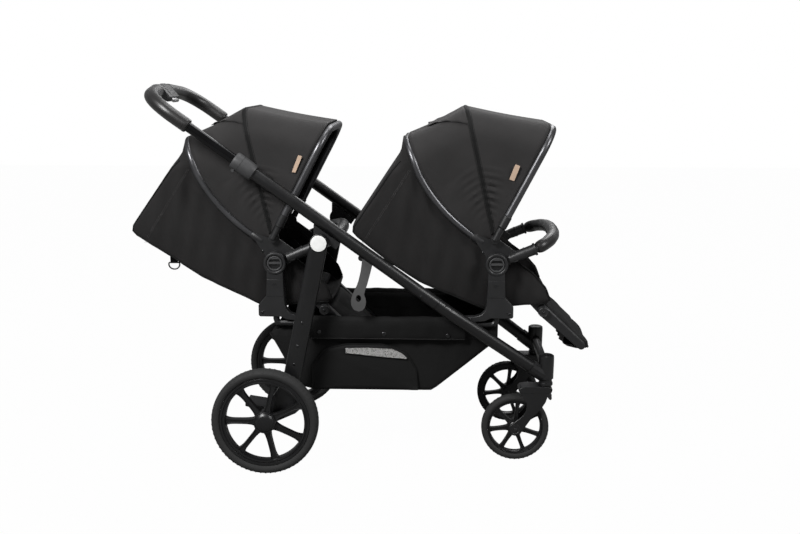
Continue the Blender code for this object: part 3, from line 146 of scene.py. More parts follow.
paper = bpy.data.materials.new("matt_studio_paper")
paper.use_nodes = True
tree = paper.node_tree
tree.nodes.clear()
paper_face = add(tree, "ShaderNodeBsdfDiffuse", {"Color": linear(PAPER), "Roughness": 1.0})
paper_glow = add(tree, "ShaderNodeEmission", {"Color": (1, 1, 1, 1), "Strength": 1.0})
camera_ray = add(tree, "ShaderNodeLightPath").outputs["Is Camera Ray"]
paper_share = worked_out(tree, "MULTIPLY", camera_ray, PAPER_GLOW)
paper_mix = add(tree, "ShaderNodeMixShader", {0: paper_share, 1: paper_face, 2: paper_glow})
add(tree, "ShaderNodeOutputMaterial", {0: paper_mix})

floor_mesh = bpy.data.meshes.new("floor")
floor_mesh.from_pydata([(-9, -9, 0), (9, -9, 0), (9, 9, 0), (-9, 9, 0)], [], [(0, 1, 2, 3)])
floor_mesh.materials.append(paper)
floor = shown("floor", floor_mesh)
floor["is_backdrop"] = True

# Main tubes: round aluminium tube of 33 mm, bent inwards once near the front, powder-coated
# satin black. Each has a pressed joint sleeve at the fold and a clamp collar of grey nylon
# at its upper end, out of which the handle slides.
TUBE_ANGLE = math.radians(35.7)
TUBE_HEIGHT = 0.5735
TUBE_RADIUS = 0.0165
TUBE_TOP_X = -0.386
TUBE_BEND_X = 0.2
TUBE_TRACK = 0.46
FRONT_TRACK = 0.33
SWIVEL_X = 0.4635
SLEEVE_X = 0.161
SLEEVE_STEP = 0.0009
COLLAR_RADIUS = 0.0238
COAT_BLACK = "#0e0e0f"
NYLON_GREY = "#343435"
ROUND_SIDES = 32


def at(x, y, z):
    """The model's place of a side-view place."""
    return Vector((x + SHIFT, y, z))


def mm(*places):
    """Places given in millimetres, in metres."""
    return [tuple(value / 1000 for value in place) for place in places]


def principled(name):
    """A new material with its tree and its shader."""
    made = bpy.data.materials.new(name)
    made.use_nodes = True
    return made, made.node_tree, made.node_tree.nodes["Principled BSDF"]


def ramp(tree, source, places, colours):
    """A colour ramp between two places."""
    made = add(tree, "ShaderNodeValToRGB", {"Fac": source})
    for stop, place, colour in zip(made.color_ramp.elements, places, colours):
        stop.position, stop.color = place, colour
    return made


def shades(base, share):
    """A colour made darker and made lighter by a share of itself."""
    colour = Vector(linear(base)[:3])
    return [(*(colour * (1 + change)), 1) for change in (-share, share)]


def flipped(place):
    """The same place on the stroller's other side."""
    return Vector((place.x, -place.y, place.z))


def finish_of(
    name, base, roughness, metallic=0.0, spread=0.06, grain=0.0012, relief=0.00005, patches=0.06, **sockets
):
    """A solid finish with a fine skin of its own: grain is the skin's size in metres, and relief its
    height. The roughness varies by spread, and the tint a little, over patches of that size."""
    made, tree, shader = principled(name)
    where = add(tree, "ShaderNodeTexCoord").outputs["Object"]
    wear = add(
        tree, "ShaderNodeTexNoise",
        {"Scale": 1 / patches, "Detail": 5.0, "Roughness": 0.6, "Vector": where},
    )
    skin = add(
        tree, "ShaderNodeTexNoise", {"Scale": 1 / grain, "Detail": 2.0, "Roughness": 0.5, "Vector": where},
    )
    low, high = roughness - spread, roughness + spread
    feed(
        tree, shader,
        {
            "Metallic": metallic, "Base Color": ramp(tree, wear, (0.25, 0.75), shades(base, 0.14)),
            "Roughness": add(
                tree, "ShaderNodeMapRange",
                {"Value": wear, "From Min": 0.3, "From Max": 0.7, "To Min": low, "To Max": high},
            ),
            "Normal": add(tree, "ShaderNodeBump", {"Strength": 0.6, "Distance": relief, "Height": skin}),
        },
    )
    feed(tree, shader, {socket.replace("_", " "): value for socket, value in sockets.items()})
    return made


# Powder coat on aluminium: sprayed and baked, a soft shine with a slight orange peel.
powder_coat = finish_of("powder_coated_aluminium_black", COAT_BLACK, 0.36, spread=0.05, grain=0.0016)
# Glass-filled nylon, moulded with a spark-eroded skin: matt, slightly paler than the tubes.
grey_nylon = finish_of("moulded_nylon_grey", NYLON_GREY, 0.52, grain=0.0007, relief=0.00008)
black_nylon = finish_of("moulded_nylon_charcoal", "#1b1b1c", 0.42, grain=0.0007, relief=0.00008)


def rounded(points, radius, steps):
    """A path of straight runs whose inner corners are rounded off."""
    path = [Vector(points[0])]
    for before, corner, after in zip(points, points[1:], points[2:]):
        before, corner, after = Vector(before), Vector(corner), Vector(after)
        back = (before - corner).normalized()
        ahead = (after - corner).normalized()
        half = back.angle(ahead) / 2
        middle = corner + (back + ahead).normalized() * radius / math.sin(half)
        first = corner + back * radius / math.tan(half) - middle
        last = corner + ahead * radius / math.tan(half) - middle
        axis = first.cross(last).normalized()
        sweep = first.angle(last)
        for i in range(steps + 1):
            path.append(middle + Matrix.Rotation(sweep * i / steps, 3, axis) @ first)
    path.append(Vector(points[-1]))
    return path


def ways_along(path):
    """The way ahead at each point of a path."""
    return [(path[min(i + 1, len(path) - 1)] - path[max(i - 1, 0)]).normalized() for i in range(len(path))]


def frames(path):
    """An (across, up) pair of unit vectors at each point of a path, turning as little as it can."""
    ways = ways_along(path)
    across = Vector((0, 1, 0)) if abs(ways[0].y) < 0.9 else ways[0].orthogonal().normalized()
    result = []
    for way in ways:
        across = (across - way * across.dot(way)).normalized()
        result.append((across, way.cross(across)))
    return result


def ring_at(centre, frame_pair, half_across, half_up=None, sides=ROUND_SIDES, power=1.0):
    """One ring around a path point; a power under 1 squares the oval."""
    half_up = half_across if half_up is None else half_up
    ring = []
    for i in range(sides):
        angle = 2 * math.pi * (i + 0.5) / sides
        c, s = math.cos(angle), math.sin(angle)
        a = half_across * bent(c, power)
        u = half_up * bent(s, power)
        ring.append(centre + frame_pair[0] * a + frame_pair[1] * u)
    return ring


def skin_over(bm, rings, wrap=False):
    """Adds a closed skin through rings of equal size; wrap joins the last ring to the first."""
    made = [[bm.verts.new(point) for point in ring] for ring in rings]
    size = len(made[0])
    for first, second in list(zip(made, made[1:])) + ([(made[-1], made[0])] if wrap else []):
        for i in range(size):
            j = (i + 1) % size
            bm.faces.new((first[i], first[j], second[j], second[i]))
    if not wrap:
        bm.faces.new(made[0])
        bm.faces.new(made[-1])
    return bm


def rod(bm, path, radii, sides=ROUND_SIDES):
    """Adds a round rod along a path; radii is one radius or one for each point."""
    radii = radii if isinstance(radii, (list, tuple)) else [radii] * len(path)
    turned = frames(path)
    return skin_over(bm, [ring_at(p, f, r, sides=sides) for p, f, r in zip(path, turned, radii)])


def turned_on(bm, start, way, profile, sides=ROUND_SIDES):
    """Adds a closed turned shape on the axis from start along way; profile is (along, radius) places."""
    way = Vector(way).normalized()
    across = way.orthogonal().normalized()
    pair = (across, way.cross(across))
    return skin_over(bm, [ring_at(Vector(start) + way * a, pair, r, sides=sides) for a, r in profile])


def spun(bm, x, y, z, side, profile, sides):
    """Adds a turned shape that points outwards from a place on one side of the stroller."""
    return turned_on(bm, at(x, side * y, z), (0, side, 0), profile, sides)


def turns(count):
    """Evenly spaced turns, in radians."""
    return [math.tau * k / count for k in range(count)]


def bent(value, power):
    """A sine or cosine raised to a power, its sign kept."""
    return math.copysign(abs(value) ** power, value)


def smooth_mesh(bm, sharp):
    """A smooth-shaded mesh from a bmesh; edges over the angle stay sharp."""
    mesh = bpy.data.meshes.new("part")
    bm.to_mesh(mesh)
    bm.free()
    mesh.shade_smooth()
    mesh.set_sharp_from_angle(angle=math.radians(sharp))
    return mesh


def plain_of(bm, sharp=35):
    """A bare mesh from a bmesh, with its doubles closed and its faces outwards."""
    bmesh.ops.remove_doubles(bm, verts=bm.verts, dist=1e-6)
    bmesh.ops.recalc_face_normals(bm, faces=bm.faces)
    return smooth_mesh(bm, sharp)


def placed(name, mesh, finish, body, slot, stands_for=(), change="", **settings):
    """Makes a mesh a piece that rides on a body, with one modifier if its kind is given."""
    mesh.name = name
    if not mesh.materials:
        mesh.materials.append(finish)
    piece = shown(name, mesh)
    if change:
        modifier = piece.modifiers.new(change.lower(), change)
        for key, value in settings.items():
            setattr(modifier, key, value)
    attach(piece, body)
    if stands_for:
        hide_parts(*stands_for)
    return piece


def finished(name, bm, finish, body, slot, stands_for=(), sharp=32, edge=0.0):
    """Makes a bmesh a solid piece; edge is the width of the bevel on its sharp edges."""
    return placed(
        name, plain_of(bm, sharp), finish, body, slot, stands_for, "BEVEL" if edge else "", width=edge,
        segments=2, limit_method="ANGLE", angle_limit=math.radians(30),
    )


def tube_z(x):
    return TUBE_HEIGHT - math.tan(TUBE_ANGLE) * x


def tube_y(x):
    share = max(0, (x - TUBE_BEND_X) / (SWIVEL_X - TUBE_BEND_X))
    return TUBE_TRACK / 2 + share * (FRONT_TRACK / 2 - TUBE_TRACK / 2)


def on_tube(x, side):
    return at(x, side * tube_y(x), tube_z(x))


tube_way = Vector((math.cos(TUBE_ANGLE), 0, -math.sin(TUBE_ANGLE)))
for word, side in SIDES:
    path = [
        on_tube(x, side)
        for x in (
            TUBE_TOP_X + 0.014, SLEEVE_X - 0.034, SLEEVE_X - 0.0335, SLEEVE_X - 0.001, SLEEVE_X - 0.0009,
            SLEEVE_X + 0.0009, SLEEVE_X + 0.001,
        )
    ]
    path += rounded([path[-1], on_tube(TUBE_BEND_X, side), on_tube(SWIVEL_X - 0.012, side)], 0.16, 8)[1:]
    step = TUBE_RADIUS + SLEEVE_STEP
    radii = [TUBE_RADIUS, TUBE_RADIUS, step, step, TUBE_RADIUS - 0.0012, TUBE_RADIUS - 0.0012, step]
    radii += [step] * (len(path) - len(radii))
    bm = rod(bmesh.new(), path, radii)
    if side < 0:
        lug = on_tube(-0.032, side) - Vector((0.0137, 0.0005, 0.0205)) * 0.75
        turned_on(bm, lug + Vector((0, 0.0035, 0)), (0, 1, 0), [(0, 0.0085), (0.006, 0.0085)], 20)
    finished(
        "main_tube_" + word + "_coated", bm, powder_coat, "chassis", "black_paint", ("main_tube_" + word,),
    )
    top = on_tube(TUBE_TOP_X, side)
    profile = [
        (a, COLLAR_RADIUS + r)
        for a, r in mm(
            (12, -8.8), (12, -3), (14.2, -0.8), (17, 0), (34, 0.2), (34.5, -0.5), (35.5, -0.5), (36, 0.1),
            (60, -0.4), (72, -1), (75, -2.2), (76, -5.8), (76, -7.2), (30, -7.2),
        )
    ]
    bm = turned_on(bmesh.new(), top, tube_way, profile)
    under = Vector((-math.sin(TUBE_ANGLE), 0, -math.cos(TUBE_ANGLE)))
    ear = top + tube_way * 0.026 + under * (COLLAR_RADIUS + 0.0006) + Vector((0, side * 0.004, 0))
    turned_on(bm, ear, (0, side, 0), [(0, 0.0044), (0.01, 0.0044)], 18)
    finished("clamp_collar_" + word, bm, grey_nylon, "chassis", "grey_plastic", ("handle_collar_" + word,))

# Handle: a U of polished black tube that slides in the main tubes, with a foam sleeve under
# smooth leatherette on each half, sewn along its inner side, and a nylon housing in the
# middle whose bright lever opens the fold.
HANDLE_TUBE_RADIUS = 0.0136
HANDLE_CORNER = (-0.599, 1.003)
HANDLE_BAR = (-0.622, 1.018)
GRIP_RADIUS = 0.0193
GRIP_START_X = -0.495
HOUSING_HALF = 0.05

# Polished and dyed aluminium: a mirror-like black that shows one bright streak.
dyed_tube = finish_of(
    "polished_dyed_aluminium", "#242425", 0.17, metallic=0.85, spread=0.04, relief=0.00001,
)
# Leatherette over foam: closed, softly shining, with a fine pressed grain.
leatherette = finish_of(
    "leatherette_black", "#191818", 0.38, spread=0.05, grain=0.0013, relief=0.00022, patches=0.03,
    Sheen_Weight=0.15, Sheen_Roughness=0.4,
)
# Zinc-plated steel, tumbled: pale and slightly dull.
plated_steel = finish_of("zinc_plated_steel", "#b9b9ba", 0.32, metallic=1.0, grain=0.0006, relief=0.00001)
# Sewing thread: twisted polyester, a little paler than the cloth it holds.
thread = finish_of("polyester_thread_black", "#3a3939", 0.6, grain=0.0005, relief=0.00005)


def plain_mesh(name, made_by, finish, body, slot, settings):
    """Runs a geometry tree over a mesh, and keeps its result as a plain piece that rides on a body."""
    start, tree = made_by
    source = shown(name + "_source", start)
    run = source.modifiers.new("make", "NODES")
    run.node_group = tree
    sockets = {s.name: s.identifier for s in tree.interface.items_tree if s.in_out == "INPUT"}
    for key, value in dict(settings, Finish=finish).items():
        run[sockets[key]] = value
    graph = bpy.context.evaluated_depsgraph_get()
    graph.update()
    mesh = bpy.data.meshes.new_from_object(source.evaluated_get(graph))
    bpy.data.objects.remove(source)
    return placed(name, mesh, finish, body, slot)


def tree_with(name, **inputs):
    """A geometry tree with its named inputs, and what they give."""
    tree = bpy.data.node_groups.new(name, "GeometryNodeTree")
    for key, kind in dict({"Geometry": "Geometry"}, **inputs, Finish="Material").items():
        tree.interface.new_socket(key.replace("_", " "), in_out="INPUT", socket_type="NodeSocket" + kind)
    tree.interface.new_socket("Geometry", in_out="OUTPUT", socket_type="NodeSocketGeometry")
    return tree, add(tree, "NodeGroupInput").outputs


def laid_out(tree, given, points, instance, rotation):
    """Ends a tree: a real copy of the instance at each point, with its material."""
    laid = add(
        tree, "GeometryNodeInstanceOnPoints",
        {"Points": points, "Instance": instance, "Rotation": rotation},
    )
    real = add(tree, "GeometryNodeRealizeInstances", {0: laid})
    painted = add(tree, "GeometryNodeSetMaterial", {"Geometry": real, "Material": given["Finish"]})
    add(tree, "NodeGroupOutput", {0: painted})


# A row of stitches: short bars of thread laid at an even step along each line of a mesh.
stitches, given = tree_with("row_of_stitches", Step="Float", Stitch_Length="Float", Thread_Radius="Float")
line = add(stitches, "GeometryNodeMeshToCurve", {0: given["Geometry"]})
spaced = add(stitches, "GeometryNodeResampleCurve", {"Curve": line, "Length": given["Step"]}, mode="LENGTH")
way = add(stitches, "GeometryNodeInputTangent")
turned = add(stitches, "FunctionNodeAlignRotationToVector", {"Vector": way}, axis="Z")
bar = add(
    stitches, "GeometryNodeMeshCylinder",
    {"Vertices": 6, "Radius": given["Thread Radius"], "Depth": given["Stitch Length"]},
)
laid_out(stitches, given, spaced, bar, turned)


def sewn(name, lines, body, step, length, radius):
    """Rows of stitches along the given lines of points."""
    mesh = bpy.data.meshes.new(name + "_lines")
    points, edges = [], []
    for places in lines:
        edges += [(len(points) + i, len(points) + i + 1) for i in range(len(places) - 1)]
        points += [tuple(p) for p in places]
    mesh.from_pydata(points, edges, [])
    settings = {"Step": step, "Stitch Length": length, "Thread Radius": radius}
    return plain_mesh(name, (mesh, stitches), thread, body, "black_fabric", settings)


def handle_path(start_x):
    """The handle's middle line from the right side's start to the left side's, with its two bends."""
    corner = at(HANDLE_CORNER[0], -TUBE_TRACK / 2, HANDLE_CORNER[1])
    bar = at(HANDLE_BAR[0], -HOUSING_HALF - 0.012, HANDLE_BAR[1])
    inner = at(HANDLE_BAR[0], -HOUSING_HALF, HANDLE_BAR[1])
    right = rounded([on_tube(start_x, -1), corner, bar], 0.095, 14) + [inner]
    return right, [flipped(p) for p in right]


right_half, left_half = handle_path(TUBE_TOP_X + 0.02)
bm = rod(bmesh.new(), right_half + left_half[::-1], HANDLE_TUBE_RADIUS)
finished("handle_tube_polished", bm, dyed_tube, "handle", "gloss_black", ("handle_tube",))

for word, side in SIDES:
    half = handle_path(GRIP_START_X)[0 if side < 0 else 1]
    first_way = (half[1] - half[0]).normalized()
    marks = [half[0] + first_way * d for d in (0.0, 0.0006, 0.0022, 0.006, 0.01, 0.0105, 0.0118, 0.0123)]
    steps = (-0.0026, -0.0008, 0.0002, 0.0002, -0.0006, -0.0006, 0)
    radii = [HANDLE_TUBE_RADIUS] + [GRIP_RADIUS + step for step in steps]
    ends = [half[-1] + (half[-2] - half[-1]).normalized() * d for d in (0.006, 0.002, 0.0)]
    path = marks + half[1:-1] + ends
    radii += [GRIP_RADIUS] * (len(half) - 2) + [GRIP_RADIUS, GRIP_RADIUS - 0.001, GRIP_RADIUS - 0.003]
    bm = rod(bmesh.new(), path, radii)
    finished("grip_" + word, bm, leatherette, "handle", "grip_leatherette", ("handle_grip_" + word,))
    turned = frames(path)
    inside = []
    for point, pair, radius in list(zip(path, turned, radii))[8:-3]:
        inwards = pair[0] * -side * 0.55 - Vector((0, 0, 1)) * 0.35
        inwards -= (inwards.dot(pair[0].cross(pair[1]))) * pair[0].cross(pair[1])
        inside.append(point + inwards.normalized() * (radius + 0.0001))
    sewn("grip_seam_" + word, [inside], "handle", 0.005, 0.0034, 0.0005)


def sloped(along, up, y):
    """A place in the slope of the middle housing: along it to the front, and up from it."""
    c, s = math.cos(TUBE_ANGLE), math.sin(TUBE_ANGLE)
    return at(HANDLE_BAR[0] + c * along + s * up, y, HANDLE_BAR[1] - s * along + c * up)


# The housing's halves meet round the tube; its nose holds the lever, its top is flat.
profile = mm(
    (-17.2, -4), (-15, -11.2), (-8.5, -16.6), (2, -17.6), (12, -15), (25, -11), (38.5, -8.4), (39.8, -6),
    (39.8, 6.2), (38, 8.4), (25, 11.8), (12, 15.8), (1, 18.2), (-9, 17.2), (-15.2, 11.8), (-17.4, 3.5),
)
rings = []
for y, shrink in (
    (-0.05, 0.9), (-0.0492, 0.965), (-0.047, 1.0), (-0.0305, 1.0), (-0.03, 0.975), (-0.0292, 0.975),
    (-0.0287, 1.0), (0.0287, 1.0), (0.0292, 0.975), (0.03, 0.975), (0.0305, 1.0), (0.047, 1.0),
    (0.0492, 0.965), (0.05, 0.9),
):
    rings.append([sloped(a * shrink, u * shrink, y) for a, u in profile])
bm = skin_over(bmesh.new(), rings)
# A dished finger plate lies on the housing's flat top.
top_plate = mm((-10, 17.6), (1.5, 18.6), (11.8, 16.2), (30, 11), (30, 9), (-10, 15))
rings = [
    [sloped(a, u * k, y) for a, u in top_plate]
    for y, k in ((-0.0262, 0.97), (-0.025, 1.03), (0.025, 1.03), (0.0262, 0.97))
]
skin_over(bm, rings)
finished("lever_housing_moulded", bm, grey_nylon, "handle", "grey_plastic", ("lever_housing",), sharp=28)

lever_profile = mm(
    (32.5, -4.6), (44, -4.9), (48.6, -4.4), (50, -2.2), (49.9, 2), (48.2, 4), (44, 3), (40.5, 4.4),
    (32.5, 4.6),
)
rings = []
for y, shrink in (
    (-0.026, 0.88), (-0.0252, 0.97), (-0.0235, 1.0), (0.0235, 1.0), (0.0252, 0.97), (0.026, 0.88),
):
    rings.append([sloped(0.0325 + (a - 0.0325) * shrink, u * shrink, y) for a, u in lever_profile])
bm = skin_over(bmesh.new(), rings)
finished(
    "handle_lever_pressed", bm, plated_steel, "handle_lever", "bright_steel", ("handle_lever",),
    edge=0.0004,
)

# Rear frame: two oval tube legs that turn on a pin under the main tubes. Each leg's lower end
# sits in a moulded foot on the axle, held by three rivets; a white cap covers the pin's head.
LEG_PIVOT = (-0.152, 0.626)
LEG_FOOT = (-0.2335, 0.2405)
LEG_INNER_Y = 0.24
LEG_THICKNESS = 0.026
LEG_WIDTH = 0.048
LEG_OUTER_Y = LEG_INNER_Y + LEG_THICKNESS
CAP_RADIUS = 0.0215
CAP_THICKNESS = 0.003

# ABS, injection moulded and polished: the one bright part of the frame.
white_abs = finish_of("moulded_abs_white", "#e6e6e4", 0.34, spread=0.04, grain=0.002, relief=0.00001)

for word, side in SIDES:
    y = side * (LEG_INNER_Y + LEG_THICKNESS / 2)
    top, foot = at(LEG_PIVOT[0], y, LEG_PIVOT[1]), at(LEG_FOOT[0], y, LEG_FOOT[1])
    path = [top + (foot - top) * t for t in (0.0, 0.02, 0.06, 0.12, 0.5, 0.9, 1.0)]
    turned = frames(path)
    turned[-1] = (turned[-1][0], Vector((1, 0, 0)))
    half_up = [LEG_WIDTH / 2 * k for k in (0.86, 0.93, 0.99, 1.0, 1.0, 1.0, 1.0)]
    rings = [
        ring_at(p, f, LEG_THICKNESS / 2 - 0.0004, h, 36, 0.62) for p, f, h in zip(path, turned, half_up)
    ]
    bm = skin_over(bmesh.new(), rings)
    eye = [
        (0.0, 0.0215), (0.0012, 0.024), (0.003, 0.025), (LEG_THICKNESS - 0.003, 0.025),
        (LEG_THICKNESS - 0.0012, 0.024), (LEG_THICKNESS, 0.0215),
    ]
    turned_on(bm, (top.x, side * LEG_INNER_Y, top.z), (0, side, 0), eye, 40)
    finished(
        "rear_leg_" + word + "_coated", bm, powder_coat, "rear_frame", "black_paint", ("rear_leg_" + word,),
    )
    seat = (top.x, side * (LEG_OUTER_Y + 0.0001), top.z)
    dome = [
        (0, CAP_RADIUS - 0.0004), (CAP_THICKNESS * 0.45, CAP_RADIUS),
        (CAP_THICKNESS * 0.78, CAP_RADIUS - 0.0005), (CAP_THICKNESS * 0.92, CAP_RADIUS - 0.0016),
        (CAP_THICKNESS * 0.86, CAP_RADIUS - 0.0024), (CAP_THICKNESS * 0.96, CAP_RADIUS - 0.0034),
        (CAP_THICKNESS * 1.08, CAP_RADIUS * 0.5), (CAP_THICKNESS * 1.12, CAP_RADIUS * 0.12),
        (CAP_THICKNESS * 1.12, 0.0003),
    ]
    bm = turned_on(bmesh.new(), seat, (0, side, 0), dome, 40)
    finished(
        "pivot_cap_" + word + "_domed", bm, white_abs, "rear_frame", "white_plastic",
        ("pivot_cap_" + word,), sharp=50,
    )

for name in ("axle_beam", "pivot_plate_right", "pivot_plate_left", "brake_pedal"):
    nodes[name].data.materials[0] = black_nylon

# Rear wheels: an inflated-looking foamed tyre on a moulded nylon wheel with seven twin-ribbed
# spokes and a domed hub cover; they run free on the axle's spindles.
REAR_RADIUS = 0.145
REAR_TRACK = 0.587
REAR_AXLE = (-0.3, 0.145)
FRONT_RADIUS = 0.094
FRONT_AXLE = (0.381, 0.094)
SPOKES = 7

# Foamed EVA tyre: moulded, dead matt and slightly greyed by dust.
foam_tyre = finish_of(
    "foamed_eva_tyre", "#1e1e1e", 0.8, spread=0.06, grain=0.0011, relief=0.00012, patches=0.02,
)
# Wheel nylon: moulded smooth, with a low satin shine.
wheel_nylon = finish_of(
    "moulded_nylon_wheel_black", "#131314", 0.34, spread=0.05, grain=0.0009, relief=0.00005,
)

# Copies turned about an axle: the given mesh stands at the model's origin, with the axle along Y.
copies, given = tree_with(
    "copies_round_an_axle", Count="Int", Step_Angle="Float", First_Angle="Float", Axle="Vector",
)
spots = add(copies, "GeometryNodePoints", {"Count": given["Count"], "Position": given["Axle"]})
place = add(copies, "GeometryNodeInputIndex")
angle = worked_out(copies, "MULTIPLY_ADD", place, given["Step Angle"], given["First Angle"])
about_y = add(copies, "ShaderNodeCombineXYZ", {"Y": angle})
turn = add(copies, "FunctionNodeEulerToRotation", {0: about_y})
laid_out(copies, given, spots, given["Geometry"], turn)


def lathed(bm, centre, profile, sides):
    """Adds a ring turned about Y: profile is (radius, offset along Y) places, closed on itself."""
    rings = []
    for i in range(sides):
        turn = 2 * math.pi * i / sides
        rings.append([centre + Vector((r * math.cos(turn), o, r * math.sin(turn))) for r, o in profile])
    return skin_over(bm, rings, wrap=True)


def spoke_mesh(start, end, widths, depths, rib):
    """One spoke along +X: a web with a raised rib at each edge, flared at both ends."""
    rings = []
    count = len(widths)
    for i, (width, depth) in enumerate(zip(widths, depths)):
        x = start + (end - start) * i / (count - 1)
        w, d, web = width / 2, depth / 2, depth / 2 - rib
        r = min(0.0026, w * 0.42)
        ring = [
            (-w, -d), (-w + r * 0.6, -d - 0.0004), (-w + r, -d), (-w + r * 1.3, -web), (w - r * 1.3, -web),
            (w - r, -d), (w - r * 0.6, -d - 0.0004), (w, -d), (w, d), (w - r * 0.6, d + 0.0004),
            (w - r, d), (w - r * 1.3, web), (-w + r * 1.3, web), (-w + r, d), (-w + r * 0.6, d + 0.0004),
            (-w, d),
        ]
        rings.append([Vector((x, y, z)) for z, y in ring])
    return plain_of(skin_over(bmesh.new(), rings), 40)


def wheel(
    prefix, word, side, axle, track, radius, tyre_half, tyre_depth, rim_profile, hub_profile, spoke, first,
):
    """A tyre, and a wheel of rim, hub and spokes, at its place on the axle."""
    body = prefix + "_wheel_" + word
    centre = at(axle[0], side * track / 2, axle[1])
    t, d = tyre_half, tyre_depth
    crown = [
        (radius - d * drop, t * out)
        for drop, out in (
            (1, -0.76), (1, 0.76), (0.86, 0.9), (0.62, 0.99), (0.45, 1), (0.26, 0.93), (0.12, 0.76),
            (0.075, 0.66), (0.11, 0.63), (0.045, 0.58), (0.005, 0.28),
        )
    ]
    crown += [(radius - 0.0012, t * 0.24), (radius - 0.0012, t * 0.18), (radius, t * 0.15)]
    profile = crown + [(r, -o) for r, o in crown[:1:-1]]
    bm = lathed(bmesh.new(), centre, profile, 120)
    finished(
        prefix + "_tyre_" + word + "_moulded", bm, foam_tyre, body, "tyre_rubber",
        (prefix + "_tyre_" + word,), sharp=48,
    )
    # Tread: low blocks along both shoulders.
    block = bmesh.new()
    for turn in (-1, 1):
        rings = []
        for lean in (-0.5, 0.5):
            across = ((0.7, -0.06), (0.88, -0.175), (0.955, -0.3), (0.9, -0.32), (0.68, -0.115))
            rings.append([
                Vector((
                    lean * 0.0036 + turn * 0.0012 * (k > 0.8), turn * t * k, radius + d * drop + 0.0004,
                ))
                for k, drop in across
            ])
        skin_over(block, rings)
    count = 66 if prefix == "rear" else 46
    settings = {
        "Count": count, "Step Angle": 2 * math.pi / count, "First Angle": 0.0, "Axle": tuple(centre),
    }
    plain_mesh(
        prefix + "_tread_" + word, (plain_of(block), copies), foam_tyre, body, "tyre_rubber", settings,
    )
    bm = lathed(bmesh.new(), centre, rim_profile, 120)
    turned_on(bm, centre, (0, side, 0), hub_profile, 44)
    finished(
        prefix + "_rim_" + word + "_moulded", bm, wheel_nylon, body, "charcoal_plastic",
        (prefix + "_rim_" + word,), sharp=38,
    )
    settings = {
        "Count": SPOKES, "Step Angle": 2 * math.pi / SPOKES, "First Angle": first, "Axle": tuple(centre),
    }
    plain_mesh(prefix + "_spokes_" + word, (spoke, copies), wheel_nylon, body, "charcoal_plastic", settings)


rear_rim = mm(
    (107.2, -11.8), (108, -13.8), (112, -14.4), (113.2, -12.8), (115, -12.6), (116.2, -14.6), (121.5, -15),
    (122.9, -14),
)
rear_rim += [(r, -o) for r, o in rear_rim[::-1]]
rear_hub = mm(
    (-24, 6.2), (-24, 18), (-22.5, 20), (-15, 21.5), (-12, 30), (14, 30.2), (16.5, 29.6), (17.2, 28),
    (16.6, 26.2), (17.6, 25), (21.5, 21.5), (23.4, 16), (24, 8), (24, 0.4),
)
rear_spoke = spoke_mesh(
    0.027, 0.109, [0.021, 0.0158, 0.0138, 0.0132, 0.013, 0.013, 0.0132, 0.014, 0.0172, 0.024],
    [0.022, 0.02, 0.019, 0.0184, 0.018, 0.0176, 0.0172, 0.017, 0.0172, 0.018], 0.003,
)
front_rim = mm(
    (70, -8.6), (70.6, -10), (72.8, -10.4), (73.6, -9.2), (74.6, -10.4), (76.2, -10.6), (76.7, -9.8),
)
front_rim += [(r, -o) for r, o in front_rim[::-1]]
front_hub = mm(
    (-16.8, 4), (-16.8, 10), (-15.5, 12), (-11, 16), (-10, 22), (10, 22.2), (11.2, 21.5), (11.4, 17),
    (15, 13), (16.6, 11), (16.8, 5), (16.8, 0.4),
)
front_spoke = spoke_mesh(
    0.018, 0.0715, [0.017, 0.0125, 0.0108, 0.0102, 0.01, 0.0102, 0.0112, 0.015],
    [0.015, 0.014, 0.0134, 0.013, 0.0126, 0.0124, 0.0124, 0.013], 0.0022,
)
for word, side in SIDES:
    wheel(
        "rear", word, side, REAR_AXLE, REAR_TRACK, REAR_RADIUS, 0.0205, 0.022, rear_rim, rear_hub,
        rear_spoke, math.pi,
    )
    wheel(
        "front", word, side, FRONT_AXLE, FRONT_TRACK, FRONT_RADIUS, 0.015, 0.017, front_rim, front_hub,
        front_spoke, math.radians(-187),
    )

# Caster housings: glass-filled nylon sockets riveted to the main tubes' front ends, joined by
# a cross tube, with a capped vertical bearing for each front fork.
HOUSING_BOTTOM = 0.217
HOUSING_TOP = 0.3
for word, side in SIDES:
    node = "caster_housing_" + word
    nodes[node].data.materials[0] = wheel_nylon
    y = side * FRONT_TRACK / 2
    top = at(SWIVEL_X, y, HOUSING_TOP)
    cap = mm((-66, 16), (-64, 21.2), (-6, 22.2), (0.6, 21.4), (3, 18), (3.4, 6), (2.4, 4.8), (2.4, 0.4))
    bm = turned_on(bmesh.new(), top, (0, 0, 1), cap, 36)
    skirt = mm((-0.4, 16.5), (0, 19.5), (5, 20), (8.5, 18.8), (8.5, 16.5))
    turned_on(bm, at(SWIVEL_X, y, HOUSING_BOTTOM), (0, 0, 1), skirt, 36)
    finished("caster_cap_" + word, bm, wheel_nylon, "chassis", "charcoal_plastic")
nodes["front_cross_tube"].data.materials[0] = powder_coat

# Front forks: one moulding each, with a thick top plate, a cranked arm on both sides of the
# wheel and a bolted axle; a flip tab under the plate's front edge locks the swivel.
FORK_TOP = HOUSING_BOTTOM - 0.0006
FORK_BACK = 0.387
FORK_FRONT = 0.481
FORK_DEPTH = 0.019
FORK_HALF = 0.027
ARM_THICKNESS = 0.0065


def arc_places(centre, radius, start, end, steps):
    """Side-view places along an arc given in degrees, both ends included."""
    places = []
    for i in range(steps + 1):
        turn = math.radians(start + (end - start) * i / steps)
        places.append((centre[0] + radius * math.cos(turn), centre[1] + radius * math.sin(turn)))
    return places


def oval(x, z, half_x, half_z, sides):
    """Side-view places round an oval."""
    return [(x + half_x * math.cos(turn), z + half_z * math.sin(turn)) for turn in turns(sides)]


